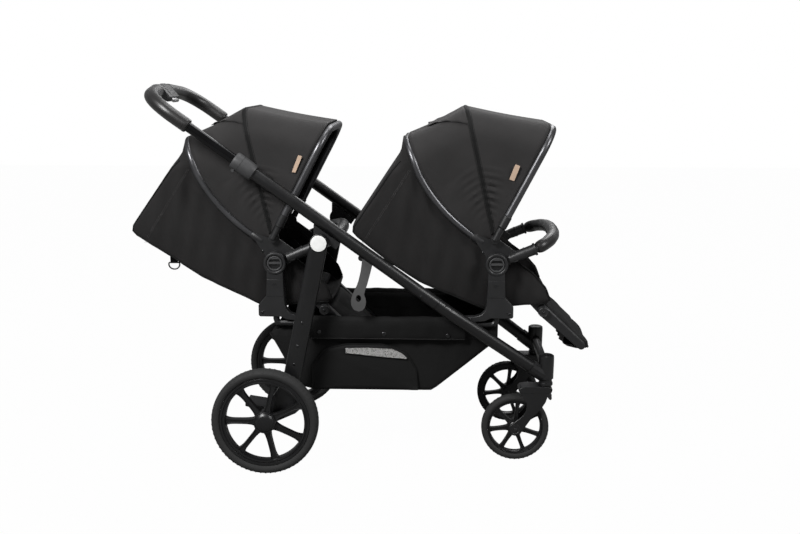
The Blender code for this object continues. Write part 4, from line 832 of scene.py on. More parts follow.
def slab(bm, outline, y_from, y_to, draft=0.0):
    """Adds a side-view outline given thickness between two values of y, its far faces drawn in by draft."""
    x_mid = sum(x for x, z in outline) / len(outline)
    z_mid = sum(z for x, z in outline) / len(outline)
    return skin_over(
        bm,
        [
            [at(x_mid + (x - x_mid) * share, y, z_mid + (z - z_mid) * share) for x, z in outline]
            for y, share in ((y_from, 1), (y_to, 1 - draft))
        ]
    )


plate_low = FORK_TOP - FORK_DEPTH
for word, side in SIDES:
    y = side * FRONT_TRACK / 2
    plate = [
        (FORK_BACK + 0.006, plate_low), (FORK_FRONT - 0.01, plate_low),
        (FORK_FRONT - 0.002, plate_low + 0.004), (FORK_FRONT, FORK_TOP - 0.006),
        (FORK_FRONT - 0.004, FORK_TOP - 0.0012), (FORK_FRONT - 0.01, FORK_TOP),
        (FORK_BACK + 0.02, FORK_TOP), (FORK_BACK + 0.006, FORK_TOP - 0.003), (FORK_BACK, FORK_TOP - 0.01),
    ]
    bm = slab(bmesh.new(), plate, y - FORK_HALF, y + FORK_HALF)
    arm = [
        (FORK_BACK + 0.004, plate_low + 0.004), (FORK_FRONT - 0.012, plate_low + 0.004),
        (FORK_FRONT - 0.0135, plate_low - 0.01), (FORK_FRONT - 0.018, plate_low - 0.024),
        (FORK_FRONT - 0.03, plate_low - 0.044), (FORK_FRONT - 0.055, plate_low - 0.07),
    ]
    arm += arc_places(FRONT_AXLE, 0.019, -20, -208, 12)
    arm += mm((381.5, 116.5), (390, 124), (401, 133), (408.5, 144), (411, 156), (411, 168))
    for low, high in (
        (y - FORK_HALF + 0.0004, y - FORK_HALF + ARM_THICKNESS),
        (y + FORK_HALF - ARM_THICKNESS, y + FORK_HALF - 0.0004),
    ):
        slab(bm, arm, low, high)
    finished(
        "front_fork_" + word, bm, wheel_nylon, "caster_" + word, "charcoal_plastic",
        ("caster_fork_" + word,), sharp=30, edge=0.0014,
    )
    # The axle bolt's flanged head and nut, and a raised rib round each arm's eye.
    bm = bmesh.new()
    for way in (-1, 1):
        face = at(FRONT_AXLE[0], y + way * (FORK_HALF - 0.0006), FRONT_AXLE[1])
        turned_on(bm, face, (0, way, 0), mm((0, 14.5), (1.6, 14.2), (2, 12), (0.8, 10.8), (0.8, 0.4)), 32)
        turned_on(bm, face + Vector((0, way * 0.0006, 0)), (0, way, 0), [(0, 0.0066), (0.0012, 0.0066)], 28)
        turned_on(
            bm, face + Vector((0, way * 0.0016, 0)), (0, way, 0),
            mm((0, 5.2), (2.4, 5), (3, 4.2), (3, 0.3)), 6,
        )
    finished("front_axle_bolt_" + word, bm, black_nylon, "caster_" + word, "charcoal_plastic", sharp=30)
    pivot = (FORK_FRONT - 0.02, plate_low - 0.006)
    tab = arc_places(pivot, 0.0057, 90, 250, 8)
    tab += [
        (FORK_FRONT - 0.012, plate_low - 0.0135), (FORK_FRONT - 0.008, plate_low - 0.02),
        (FORK_FRONT - 0.003, plate_low - 0.0218), (FORK_FRONT, plate_low - 0.0185),
        (FORK_FRONT - 0.001, plate_low - 0.0048),
    ]
    bm = slab(bmesh.new(), tab, y - 0.013, y + 0.013)
    for k in range(4):
        rib_z = plate_low - 0.0085 - k * 0.003
        turned_on(bm, at(FORK_FRONT - 0.0008, y - 0.01, rib_z), (0, 1, 0), [(0, 0.0008), (0.02, 0.0008)], 8)
    finished(
        "swivel_lock_tab_" + word, bm, grey_nylon, "swivel_lock_" + word, "grey_plastic",
        ("swivel_lock_" + word,), edge=0.0007,
    )

# Brackets: a nylon post over each seat hub, with a ring round the release button, a foot
# along the rail and a gusset to the cross bar's lug. The button has a dished slot with a bar.
HUB_Z = 0.56
HUBS = (("rear", -0.28, -1), ("front", 0.321, 1))
BRACKET_INNER_Y = 0.176
BRACKET_THICKNESS = 0.028
BRACKET_OUTER_Y = BRACKET_INNER_Y + BRACKET_THICKNESS
RING_HOLE = 0.0218


def bracket_outline(hub_x, way):
    """The post with its gusset towards way, and its foot sweeping the other way along the rail."""
    lug = mm(
        (24.5, 470), (33, 461), (44, 448), (47, 444), (47, 416), (43, 412.2), (26, 412), (-14, 411.8),
        (-30, 404), (-62, 401.2), (-85, 401.2), (-87, 404), (-87, 413), (-83, 415), (-56, 416.5),
        (-40, 421.5), (-30, 432), (-25.6, 448), (-24.5, 470),
    )
    return [(hub_x + way * a, z) for a, z in lug]


def four(x_from, x_to, z_from, z_to):
    """The corners of a side-view rectangle."""
    return [(x_from, z_from), (x_to, z_from), (x_to, z_to), (x_from, z_to)]


def ring_and_post(bm, hub_x, way, side):
    """Adds the ring round a hub's button, and the post below it."""
    low, high = side * (BRACKET_INNER_Y + 0.0002), side * (BRACKET_OUTER_Y - 0.0022)
    centre = at(hub_x, 0, HUB_Z)
    sweep = mm(
        (21.8, 176.2), (29, 176.2), (31, 178.5), (31, 201), (30.2, 203), (28.4, 204), (24.8, 204),
        (22.8, 203.2), (21.8, 201.4),
    )
    lathed(bm, centre, [(r, side * y) for r, y in sweep], 64)
    foot = bracket_outline(hub_x, way)
    top_arc = arc_places((hub_x, HUB_Z), RING_HOLE + 0.0042, -35, -145, 12)
    slab(bm, top_arc[::-way] + foot, low, high)


for prefix, hub_x, way in HUBS:
    for word, side in SIDES:
        bm = bmesh.new()
        ring_and_post(bm, hub_x, way, side)
        name = prefix + "_bracket_" + word
        finished(
            name + "_moulded", bm, black_nylon, "chassis", "charcoal_plastic", (name,), sharp=30,
            edge=0.0016,
        )
        # A shallow step across the post, a drain slot, and the split line of the lug's clamp.
        bm = bmesh.new()
        face = side * (BRACKET_OUTER_Y - 0.0022)
        out = side * 0.0008
        for x_from, x_to, z_from, z_to, deep, proud, draft in (
            (-0.0225, 0.0225, 0.469, 0.516, 1, 1, 0.02), (-0.006, 0.006, 0.4935, 0.4985, 3, 1.4, 0),
            (way * 0.0262, way * 0.0455, 0.4275, 0.4285, 3, 1.4, 0),
        ):
            low, high = face - out * deep, face + out * proud
            slab(bm, four(hub_x + x_from, hub_x + x_to, z_from, z_to), low, high, draft)
        finished(name + "_relief", bm, black_nylon, "chassis", "charcoal_plastic", edge=0.0004)
        button = prefix + "_button_" + word
        outer = BRACKET_OUTER_Y - 0.0012
        ring = mm(
            (16.4, 1.2), (20.5, 1.2), (20.5, 7), (20.2, 8), (19.4, 8.5), (17.6, 8.5), (16.8, 8.1),
            (16.4, 7.2),
        )
        start = side * (outer - 0.0082)
        bm = lathed(bmesh.new(), at(hub_x, 0, HUB_Z), [(r, start + side * d) for r, d in ring], 56)
        for low_z, high_z, rise in (
            (0.0122, 0.0162, 0.0078), (-0.0016, 0.0044, 0.007), (-0.0162, -0.015, 0.0078),
        ):
            half_low, half_high = [
                math.sqrt(0.0168 ** 2 - z ** 2) if abs(z) > 0.005 else 0.0164 for z in (low_z, high_z)
            ]
            bar = [(-half_low, low_z), (half_low, low_z), (half_high, high_z), (-half_high, high_z)]
            bar = [(hub_x + x, HUB_Z + z) for x, z in bar]
            slab(bm, bar, start + side * 0.001, start + side * rise, 0.02)
        finished(button + "_slotted", bm, grey_nylon, button, "grey_plastic", (button,), sharp=34)
        # The slot's floor is a thin disc of the wheels' darker nylon: painted shade, so that the shallow
        # slot looks deep.
        bm = spun(bmesh.new(), hub_x, abs(start), HUB_Z, side, mm((0, 20.4), (1.4, 20.4), (1.4, 0.3)), 40)
        finished(button + "_recess", bm, wheel_nylon, button, "grey_plastic", sharp=34)
        # The drain hole is not cut: a dark oval of the wheels' nylon lies on the post's face instead,
        # painted shade for the hole's inside.
        drain_shade = oval(hub_x - 0.002, HUB_Z - 0.058, 0.0066, 0.0038, 20)
        bm = slab(bmesh.new(), drain_shade, side * (outer - 0.004), side * (outer + 0.0003))
        finished(button + "_drain", bm, wheel_nylon, "chassis", "black_paint", sharp=34)
for name in ("side_rail_right", "side_rail_left", "front_cross_bar", "rear_cross_bar"):
    nodes[name].data.materials[0] = powder_coat

# Basket: polyester cloth hung between the side rails. A hem wraps each rail and closes with
# snaps; each side has an arched pocket with a piped edge and a window of pale mesh.
BASKET_TOP = 0.4005
BASKET_HALF = 0.177
HEM_FROM = -0.188
HEM_TO = 0.238


def woven(name, base, weave, rough=0.86, relief=0.00022, sheen=0.25, shade_mottle=0.15):
    """Plain-woven cloth read from the piece's UV map, which is in metres: weave is the thread spacing."""
    made, tree, shader = principled(name)
    where = add(tree, "ShaderNodeTexCoord").outputs
    drawn = {
        "Scale": 0.314 / weave, "Distortion": 0.6, "Detail": 1.0, "Detail Scale": 0.4,
        "Vector": where["UV"],
    }
    warp, weft = [
        add(tree, "ShaderNodeTexWave", drawn, wave_type="BANDS", bands_direction=direction).outputs["Fac"]
        for direction in "XY"
    ]
    cross = worked_out(tree, "MULTIPLY", warp, weft)
    # The cloth's tone is mottled darker and lighter in soft patches about a tenth of a metre across:
    # painted shade, standing in for the soft shading of folds.
    painted_shade_patches = add(
        tree, "ShaderNodeTexNoise",
        {"Scale": 9.0, "Detail": 4.0, "Roughness": 0.55, "Vector": where["Object"]},
    )
    slubs = add(tree, "ShaderNodeTexNoise", {"Scale": 420.0, "Detail": 1.0, "Vector": where["UV"]})
    mixed = worked_out(tree, "MULTIPLY_ADD", cross, 0.35, painted_shade_patches)
    height = worked_out(tree, "MULTIPLY_ADD", slubs, 0.5, cross)
    feed(
        tree, shader,
        {
            "Sheen Weight": sheen, "Sheen Roughness": 0.45, "Sheen Tint": linear("#8c8a8a"),
            "Specular IOR Level": 0.25,
            "Base Color": ramp(tree, mixed, (0.3, 0.95), shades(base, shade_mottle * 1.6)),
            "Roughness": add(
                tree, "ShaderNodeMapRange",
                {"To Min": rough - 0.06, "To Max": rough + 0.05, "Value": slubs},
            ),
            "Normal": add(tree, "ShaderNodeBump", {"Strength": 0.55, "Distance": relief, "Height": height}),
        },
    )
    return made


# 600-denier polyester, plain woven: thread spacing drawn at 1.5 mm, coarser than the real
# 0.6 mm so that it shows; almost black, with a low sheen at the edges.
canvas = woven("woven_polyester_black", "#272626", 0.0015)
bag_cloth = woven("woven_polyester_bag", "#1a1919", 0.0015, sheen=0.14)
basket_cloth = woven("woven_polyester_basket", "#0c0c0c", 0.0018, rough=0.8, sheen=0.07)
# Binding and plain cloth of the small parts: the same polyester, drawn as a fine matt skin.
canvas_plain = finish_of(
    "woven_binding_black", "#0d0d0d", 0.78, grain=0.0012, relief=0.00025, patches=0.03,
    Specular_IOR_Level=0.2,
)
# Nylon strap: moulded flexible, mid grey, matt.
strap_nylon = finish_of("moulded_strap_grey", "#464646", 0.55, grain=0.001, relief=0.00006)
# Spacer mesh: pale knitted net of about 3 mm with open holes, backed by a darker layer.
net, tree, shader = principled("knitted_spacer_mesh_pale")
where = add(tree, "ShaderNodeTexCoord").outputs["Object"]
cells = add(
    tree, "ShaderNodeTexVoronoi", {"Scale": 300.0, "Randomness": 0.35, "Vector": where},
    feature="DISTANCE_TO_EDGE",
)
feed(
    tree, shader,
    {
        "Roughness": 0.8,
        "Base Color": ramp(tree, cells, (0.14, 0.24), (linear("#5c5b5a"), linear("#c9c8c6"))),
        "Normal": add(tree, "ShaderNodeBump", {"Strength": 0.6, "Distance": 0.0006, "Height": cells}),
    },
)


def walked(path):
    """How far along a path each of its points lies."""
    lengths = [0.0]
    for p, q in zip(path, path[1:]):
        lengths.append(lengths[-1] + (q - p).length)
    return lengths


def cloth(name, rows, finish, body, slot, thickness, stands_for=(), sharp=60):
    """A cloth surface over rows of points, with a UV map in metres; a thickness is given inwards."""
    bm = bmesh.new()
    made = [[bm.verts.new(p) for p in row] for row in rows]
    layer = bm.loops.layers.uv.new("cut")
    middle = len(rows[0]) // 2
    down = walked([row[middle] for row in rows])
    across = [[length - lengths[middle] for length in lengths] for lengths in map(walked, rows)]
    for i in range(len(rows) - 1):
        for j in range(len(rows[0]) - 1):
            corners = ((i, j), (i, j + 1), (i + 1, j + 1), (i + 1, j))
            face = bm.faces.new([made[a][b] for a, b in corners])
            for loop, (a, b) in zip(face.loops, corners):
                loop[layer].uv = (across[a][b], down[a])
    return placed(
        name, smooth_mesh(bm, sharp), finish, body, slot, stands_for, "SOLIDIFY", thickness=thickness,
        offset=-1,
    )


def bound(name, path, radius, body, sides=8):
    """A round binding or piping along a path."""
    return finished(
        name, rod(bmesh.new(), path, radius, sides), canvas_plain, body, "black_fabric", sharp=60,
    )


def along(places, share):
    """The place at a share of a polyline's length."""
    places = [Vector(place) for place in places]
    lengths = walked(places)
    goal = share * lengths[-1]
    i = next((i for i in range(len(places) - 2) if goal <= lengths[i + 1]), len(places) - 2)
    span = lengths[i + 1] - lengths[i]
    return places[i].lerp(places[i + 1], (goal - lengths[i]) / span if span else 0)


def softened(places, radius, steps=4):
    """A side-view polyline with its inner corners rounded off."""
    flat = [Vector((x, 0, z)) for x, z in places]
    return [(p.x, p.z) for p in rounded(flat, radius, steps)]


def tray(edge, under, stations, half, swell, folds, side_steps=12, corner_steps=6, across_steps=14):
    """Rows across a cloth tray: from the right edge down its side, across below and up to the left edge.
    edge and under are side-view lines, matched by stations of (share of edge, share of under, corner)."""
    rows = []
    for share_edge, share_under, radius in stations:
        top, low = along(edge, share_edge), along(under, share_under)
        drop = low - top
        depth = max(drop.length, 1e-5)
        way = drop / depth
        r = min(radius, depth)
        right = []
        for i in range(side_steps + 1):
            a = (depth - r) * i / side_steps
            bulge = swell * math.sin(math.pi * min(1, a / depth)) if depth > 0.02 else 0
            extra = folds(top[0] + way[0] * a, top[1] + way[1] * a, a / depth)
            right.append((a, half + bulge + extra))
        y_corner = right[-1][1]
        for i in range(1, corner_steps + 1):
            turn = math.pi / 2 * i / corner_steps
            right.append((depth - r + r * math.sin(turn), y_corner - r * (1 - math.cos(turn))))
        inner = right[-1][1]
        row = [at(top[0] + way[0] * a, -y, top[1] + way[1] * a) for a, y in right]
        for i in range(1, across_steps):
            s = i / across_steps
            sag = swell * 0.8 * math.sin(math.pi * s)
            row.append(at(low[0] + way[0] * sag, -inner + 2 * inner * s, low[1] + way[1] * sag))
        row += [at(top[0] + way[0] * a, y, top[1] + way[1] * a) for a, y in reversed(right)]
        rows.append(row)
    return rows


basket_under = softened(
    [
        (-0.302, 0.356), (-0.262, 0.281), (-0.226, 0.212), (-0.196, 0.1975), (0.149, 0.1965),
        (0.245, 0.275), (0.329, 0.345), (0.329, BASKET_TOP - 0.012),
    ],
    0.018,
)
basket_edge = [(-0.302, 0.362), (-0.242, 0.386), (-0.19, BASKET_TOP), (0.329, BASKET_TOP)]


def basket_folds(x, z, share):
    """Soft waves below the hem, where the cloth gathers, dying out towards the floor panel."""
    wave = math.sin(x * 82 + z * 25) * 0.6 + math.sin(x * 145 - z * 40 + 1.3) * 0.4
    return 0.0042 * wave * math.sin(math.pi * min(1, share * 1.15)) * (1 - 0.4 * share)


stations = [(i / 44, i / 44, 0.016) for i in range(45)]
rows = tray(basket_edge, basket_under, stations, BASKET_HALF, swell=0.0045, folds=basket_folds)
piece = cloth("basket_cloth", rows, basket_cloth, "chassis", "black_fabric", 0.0022, ("basket",))

snap_points = []
for word, side in SIDES:
    rows = []
    count = 60
    for i in range(count + 1):
        x = HEM_FROM + (HEM_TO - HEM_FROM) * i / count
        slack = 0.0007 * math.sin(i * 0.33) + 0.0005 * math.sin(i * 0.87 + 0.7)
        low = 0.349 + 0.001 * math.sin(i * 0.35)
        section = [
            (0.1975, low), (0.1995 + slack, low + 0.004), (0.1998 + slack * 1.6, 0.366),
            (0.2004 + slack, 0.383), (0.1996, 0.4), (0.195, 0.41 + slack), (0.188, 0.413 + slack),
            (0.182, 0.41), (0.1782, 0.401), (0.1775, 0.38), (0.1778, 0.36), (0.178, low + 0.002),
            (0.18, low - 0.0006), (0.19, low - 0.0008),
        ]
        rows.append([at(x, side * y, z) for y, z in section])
    bm = skin_over(bmesh.new(), rows)
    finished("basket_hem_" + word, bm, canvas_plain, "chassis", "black_fabric", sharp=70)
    for x, z in ((-0.163, 0.37), (0.016, 0.366), (0.191, 0.362)):
        snap_points.append((at(x, side * 0.2004, z), Vector((0, side, 0))))
    edge_line = [
        at(HEM_FROM + 0.004 + (HEM_TO - HEM_FROM - 0.008) * i / 40, side * 0.2004, 0.3525)
        for i in range(41)
    ]
    sewn("basket_hem_stitches_" + word, [edge_line], "chassis", 0.006, 0.004, 0.0005)
    # The arched pocket: a second layer, piped round its edge, with the mesh window at its mouth.
    arch = softened(
        mm(
            (-184.5, 203), (-183.5, 270), (-150, 318), (-85, 333), (10, 333), (76, 314), (104, 262),
            (109, 203),
        ),
        0.03, 5,
    )
    wall_y = 0.185
    pipe_path = [at(x, side * wall_y, z) for x, z in arch]
    bound("pocket_piping_" + word, pipe_path, 0.0022, "chassis", 10)
    low_line = [(-0.1845 + (0.109 + 0.1845) * i / 40, 0.203) for i in range(41)]
    rows = []
    for k in range(11):
        row = []
        for i in range(41):
            top = along(arch, i / 40)
            low = low_line[i]
            s = k / 10
            x, z = top[0] * (1 - s) + low[0] * s, top[1] * (1 - s) + low[1] * s
            crease = 0.0016 * math.exp(-(((z - 0.318 + (x + 0.147) * 0.46) / 0.006) ** 2)) * (s > 0.05)
            puff = 0.003 * math.sin(math.pi * s) * math.sin(math.pi * i / 40)
            row.append(at(x, side * (wall_y + puff + crease), z))
        rows.append(row if side < 0 else row[::-1])
    piece = cloth("pocket_panel_" + word, rows, basket_cloth, "chassis", "black_fabric", 0.0012)
    window = softened(
        mm(
            (-92, 307.5), (-92, 324), (-30, 325.5), (40, 322.5), (66, 310), (86, 291.5), (10, 297.5),
            (-92, 307.5),
        ),
        0.003, 2,
    )
    faces = [[at(x, side * (wall_y + out), z) for x, z in window[:-1]] for out in (0.0052, 0.0012)]
    bm = skin_over(bmesh.new(), faces)
    finished("pocket_mesh_" + word, bm, net, "chassis", "black_fabric")
    frame_line = [at(x, side * (wall_y + 0.0054), z) for x, z in window]
    bound("pocket_mesh_binding_" + word, frame_line, 0.0011, "chassis")

# Fold strap: a moulded grey strap with an oval eye, hung from a lug under the right main tube.
strap_outline = mm(
    (-40, 580), (-41, 566), (-44, 545), (-50, 520), (-55, 506), (-62, 492), (-68, 478), (-70.6, 464),
    (-69, 451), (-62, 440), (-50, 436), (-39, 439), (-32.5, 448), (-29.8, 461), (-31.5, 472), (-35, 481),
    (-32.5, 493), (-27, 508), (-20, 533), (-15, 553), (-12.5, 564), (-13.5, 569),
)
strap_eye = oval(-0.0503, 0.4715, 0.0072, 0.0098, 24)
bm = bmesh.new()
outer, inner = [], []
for y in (-0.2325, -0.2275):
    outer.append([
        bm.verts.new(at(x, y, z)) for x, z in softened(strap_outline + [strap_outline[0]], 0.004, 2)[:-1]
    ])
    inner.append([bm.verts.new(at(x, y, z)) for x, z in strap_eye])
for front, back in ((outer[0], outer[1]), (inner[1], inner[0])):
    for i in range(len(front)):
        j = (i + 1) % len(front)
        bm.faces.new((front[i], front[j], back[j], back[i]))
for level in (0, 1):
    loops = [outer[level], inner[level]]
    edges = []
    for loop in loops:
        for i in range(len(loop)):
            edges.append(bm.edges.get((loop[i], loop[(i + 1) % len(loop)])))
    bmesh.ops.triangle_fill(bm, use_beauty=True, edges=edges)
finished("fold_strap_moulded", bm, strap_nylon, "fold_strap", "grey_plastic", ("fold_strap",), edge=0.0008)

# Seat frames: an oval-bent hoop of black tube in two nylon side plates. Each plate carries the
# canopy's pivot, the bumper bar's socket and, in front, the arm to the calf rest.
FRAME_Y = 0.165
HOOP_RADIUS = 0.0095
CANOPY_HINGE = (-0.006, 0.066)
ARCH_FOOT = (-0.046, 0.062)
ARCH_TOP = (-0.24584, 0.32773)
ARCH_BULGE = 0.032
BOW_CORNER = 0.075
# Lacquered aluminium tube: black, with long soft silver highlights.
lacquered_tube = finish_of(
    "lacquered_aluminium_tube", "#58585a", 0.37, metallic=0.85, spread=0.03, relief=0.00001,
)
PLATE_INNER_Y = 0.168
PLATE_OUTER_Y = 0.1755
LEGREST_HINGE = (0.131, -0.135)
BUMPER_HINGE = (0.047, 0.02)


def by_hub(hub_x, *places):
    """Side-view places given from a seat's hub."""
    return [(hub_x + x, HUB_Z + z) for x, z in places]


def hub_place(hub_x, place, y=0.0):
    return at(hub_x + place[0], y, HUB_Z + place[1])


def left_of(way):
    """A side-view way turned a quarter to the left."""
    return Vector((-way.y, way.x))


def arch_leg(share):
    """The hoop's leg in side view, from its foot at share 0 to its top at 1, bulging backwards."""
    foot, top = Vector(ARCH_FOOT), Vector(ARCH_TOP)
    up = (top - foot).normalized()
    bulge = ARCH_BULGE * 4 * share * (1 - share)
    return foot.lerp(top, share) + left_of(up) * bulge


def hoop_path(hub_x):
    """The hoop's middle line from its right foot over the top to its left foot."""
    right = [hub_place(hub_x, arch_leg(0.72 * i / 12), -FRAME_Y) for i in range(13)]
    top = hub_place(hub_x, arch_leg(1), -FRAME_Y)
    left = [flipped(p) for p in right]
    return right[:-1] + rounded([right[-1], top, flipped(top), left[-1]], BOW_CORNER, 10) + left[-2::-1]


for prefix, hub_x, way in HUBS:
    seat = prefix + "_seat"
    bm = rod(bmesh.new(), hoop_path(hub_x), HOOP_RADIUS, 28)
    hub, hinge, bumper, end = by_hub(hub_x, (0, 0), CANOPY_HINGE, BUMPER_HINGE, LEGREST_HINGE)
    finished(seat + "_hoop", bm, lacquered_tube, seat, "black_paint", (seat + "_frame",))
    bm = bmesh.new()
    for word, side in SIDES:
        outline = arc_places(hub, 0.027, -25, -175, 14)
        outline += by_hub(hub_x, *mm((-30, 20), (-52, 52), (-60, 68), (-52, 80), (-43, 80)))
        outline += arc_places(hinge, 0.0155, 110, -10, 8)
        outline += arc_places(bumper, 0.013, 60, -60, 6)
        slab(bm, outline, side * PLATE_INNER_Y, side * PLATE_OUTER_Y)
        # The clamp that holds the hoop's foot, and the turned spigot in the bracket's ring.
        foot_way = (arch_leg(0.12) - arch_leg(0.0)).normalized()
        start = hub_place(hub_x, Vector(ARCH_FOOT) - foot_way * 0.012, side * FRAME_Y)
        clamp = mm((0, 9), (1.2, 11.8), (34, 12.4), (36.2, 11.2), (36.2, 9.6))
        turned_on(bm, start, (foot_way.x, 0, foot_way.y), clamp, 28)
        spun(bm, hub_x, PLATE_INNER_Y + 0.001, HUB_Z, side, [(0, 0.0207), (0.02, 0.0207)], 40)
        lean = math.degrees(math.atan2(LEGREST_HINGE[1], LEGREST_HINGE[0]))
        arm = arc_places(hub, 0.011, lean + 90, lean + 270, 4) + arc_places(
            end, 0.0145, lean - 90, lean + 90, 12,
        )
        slab(bm, arm, side * 0.1455, side * 0.152)
        boss = mm((0, 14), (27, 14), (28.6, 13), (29, 11.2), (28, 10), (28, 0.4))
        spun(bm, end[0], 0.15, end[1], side, boss, 32)
    finished(seat + "_side_plates", bm, black_nylon, seat, "charcoal_plastic", sharp=30, edge=0.001)

# Seat bags: one woven polyester bag for each seat, laced over the hoop, deep behind and flat
# below the child; its corners are piped, and a second seam runs along each side.
BAG_HALF = 0.158
BAG_REACH = {"front": 0.394, "rear": 0.402}
BAG_BELLY = {"front": 0.011, "rear": 0.002}
wing = mm((-46, 62), (-20, 52), (10, 41), (36, 21), (62, -2), (102, -31), (137, -71), (149, -103))


def bag_folds(x, z, share):
    """Upright soft folds in the cloth, strongest in the middle of the side, and finer creases low down."""
    wave = math.sin(x * 74 + z * 14 + 0.5) * 0.5 + math.sin(x * 121 - z * 22 + 2.0) * 0.35
    wave += math.sin(x * 210 + z * 60) * 0.15
    crease = math.sin(x * 160 + z * 190 + 1.0) * max(0, math.sin(x * 9 + z * 13 + 1.5)) * 0.3
    return 0.0072 * (wave + crease) * math.sin(math.pi * min(1, max(0, share))) ** 0.7


for prefix, hub_x, way in HUBS:
    reach = BAG_REACH[prefix]
    belly = BAG_BELLY[prefix]
    body = prefix + "_seat"
    across = (Vector(ARCH_TOP) - Vector(ARCH_FOOT)).normalized()
    leg_places = [tuple(arch_leg(1 - i / 24) + left_of(across) * 0.0075) for i in range(25)]
    edge = by_hub(hub_x, *leg_places, *wing[1:])
    under_places = [
        (ARCH_TOP[0] - 0.011, ARCH_TOP[1] + 0.001), (-0.262, 0.29), (-reach + 0.004, 0.099),
        (-reach - 0.004, 0.084), (-reach + 0.007, 0.07), (-0.305, 0.015 - belly), (-0.211, -0.048 - belly),
        (-0.033, -0.1345), (0.053, -0.123), (0.104, -0.119), (0.142, -0.118), (0.152, -0.106),
    ]
    under = softened(by_hub(hub_x, *under_places), 0.01, 3)
    stations = []
    for i in range(57):
        s = i / 56
        radius = 0.016 + (BOW_CORNER - 0.016) * max(0, 1 - s / 0.1) ** 1.5
        stations.append((0.165 + (1 - 0.165) * s, s, radius))
    rows = tray(
        edge, under, stations, BAG_HALF, side_steps=20, across_steps=20, swell=0.005, folds=bag_folds,
    )
    piece = cloth(
        prefix + "_seat_bag", rows, bag_cloth, body, "black_fabric", 0.003, (prefix + "_seat_shell",),
    )
    # Piping along both lower corners, a binding along the edges, and a twin seam inside the back edge.
    corner_at = 20 + 3
    lines = []
    for word, side in SIDES:
        j = corner_at if side < 0 else len(rows[0]) - 1 - corner_at
        path = [rows[i][j] + Vector((0, side * 0.0006, 0)) for i in range(3, len(rows) - 1)]
        bound(prefix + "_bag_piping_" + word, path, 0.0021, body)
        bound(prefix + "_bag_edge_" + word, [row[0 if side < 0 else -1] for row in rows[8:]], 0.0026, body)
        seen = [p for row in rows for p in row if p.y * side > 0.12]
        for shift in (0.0, 0.0045):
            line = []
            for i in range(33):
                x = hub_x - 0.24 - 0.129 * i / 32 + shift
                z = HUB_Z + 0.248 - 0.201 * i / 32
                near = sorted(((p.x - x - SHIFT) ** 2 + (p.z - z) ** 2, abs(p.y)) for p in seen)[:5]
                total = sum(1 / (d + 1e-6) for d, y in near)
                line.append(at(x, side * (sum(y / (d + 1e-6) for d, y in near) / total + 0.0006), z))
            lines.append(line)
    sewn(prefix + "_bag_stitches", lines, body, 0.006, 0.0042, 0.0005)
    # The rear panel's own hem across the bag's back.
    hem = [rows[20][j] + Vector((-0.0008, 0, 0.0006)) for j in range(24, len(rows[0]) - 24)]
    sewn(prefix + "_bag_back_stitches", [hem], body, 0.006, 0.0042, 0.0005)

# Canopies: black polyester stretched over three hoops that meet at a pivot on each side. The
# hoop's own tube shows behind, and the front bow shows as a glossy tube along the brim.
MID_BOW = (0.35, 102.5, 0.184)
BRIM = (0.331, 62.5, 0.1905)
BRIM_TUBE = 0.0105
LEG_POINTS = 44
CORNER_POINTS = 12
TOP_POINTS = 22


def resampled(path, count):
    """A path walked at count + 1 even steps."""
    lengths = walked(path)
    result = []
    k = 0
    for n in range(count + 1):
        goal = lengths[-1] * n / count
        while k < len(path) - 2 and lengths[k + 1] < goal:
            k += 1
        span = lengths[k + 1] - lengths[k]
        result.append(path[k].lerp(path[k + 1], min(1, (goal - lengths[k]) / span) if span else 0))
    return result


def bow_line(leg, half, foot_half, corner):
    """A bow's outer line from its right foot over the top to its left foot, evenly divided."""
    places = []
    for i, (x, z) in enumerate(leg):
        share = min(1, 2.2 * i / (len(leg) - 1))
        places.append(Vector((x, -(foot_half + (half - foot_half) * share), z)))
    top_right = places[-1]
    top_left = flipped(top_right)
    while len(places) > 2 and (places[-2] - top_right).length < corner * 1.02:
        places.pop(-2)
    bend = rounded([places[-2], top_right, top_left, flipped(places[-2])], corner, 14)
    first, second = bend[1:16], bend[16:31]
    right = resampled(places[:-1] + [first[0]], LEG_POINTS)
    left = [flipped(p) for p in reversed(right)]
    across = resampled([first[-1], second[0]], TOP_POINTS)
    line = right + resampled(first, CORNER_POINTS)[1:] + across[1:-1]
    return line + resampled(second, CORNER_POINTS) + left[1:]


def straight_leg(hinge, radius, angle, start, back=0.0):
    """A bow's straight leg from the hinge, moved back across its own line."""
    way = Vector((math.cos(math.radians(angle)), math.sin(math.radians(angle))))
    aside = left_of(way) * back
    return [tuple(Vector(hinge) + way * (start + (radius - start) * i / 24) + aside) for i in range(25)]


# Leather tag: bare, tan, with rounded corners, sewn flat on the right side of each canopy.
tan_leather = finish_of("tan_leather", "#b9a08b", 0.6, grain=0.0009, relief=0.00012, patches=0.08)
tags = {
    "rear": mm((-229, 807), (-218.5, 806.5), (-199.5, 850), (-210, 853.5)),
    "front": mm((350, 790.5), (363, 786), (378, 826), (365, 831)),
}
REAR_ROWS = 16
FRONT_ROWS = 18

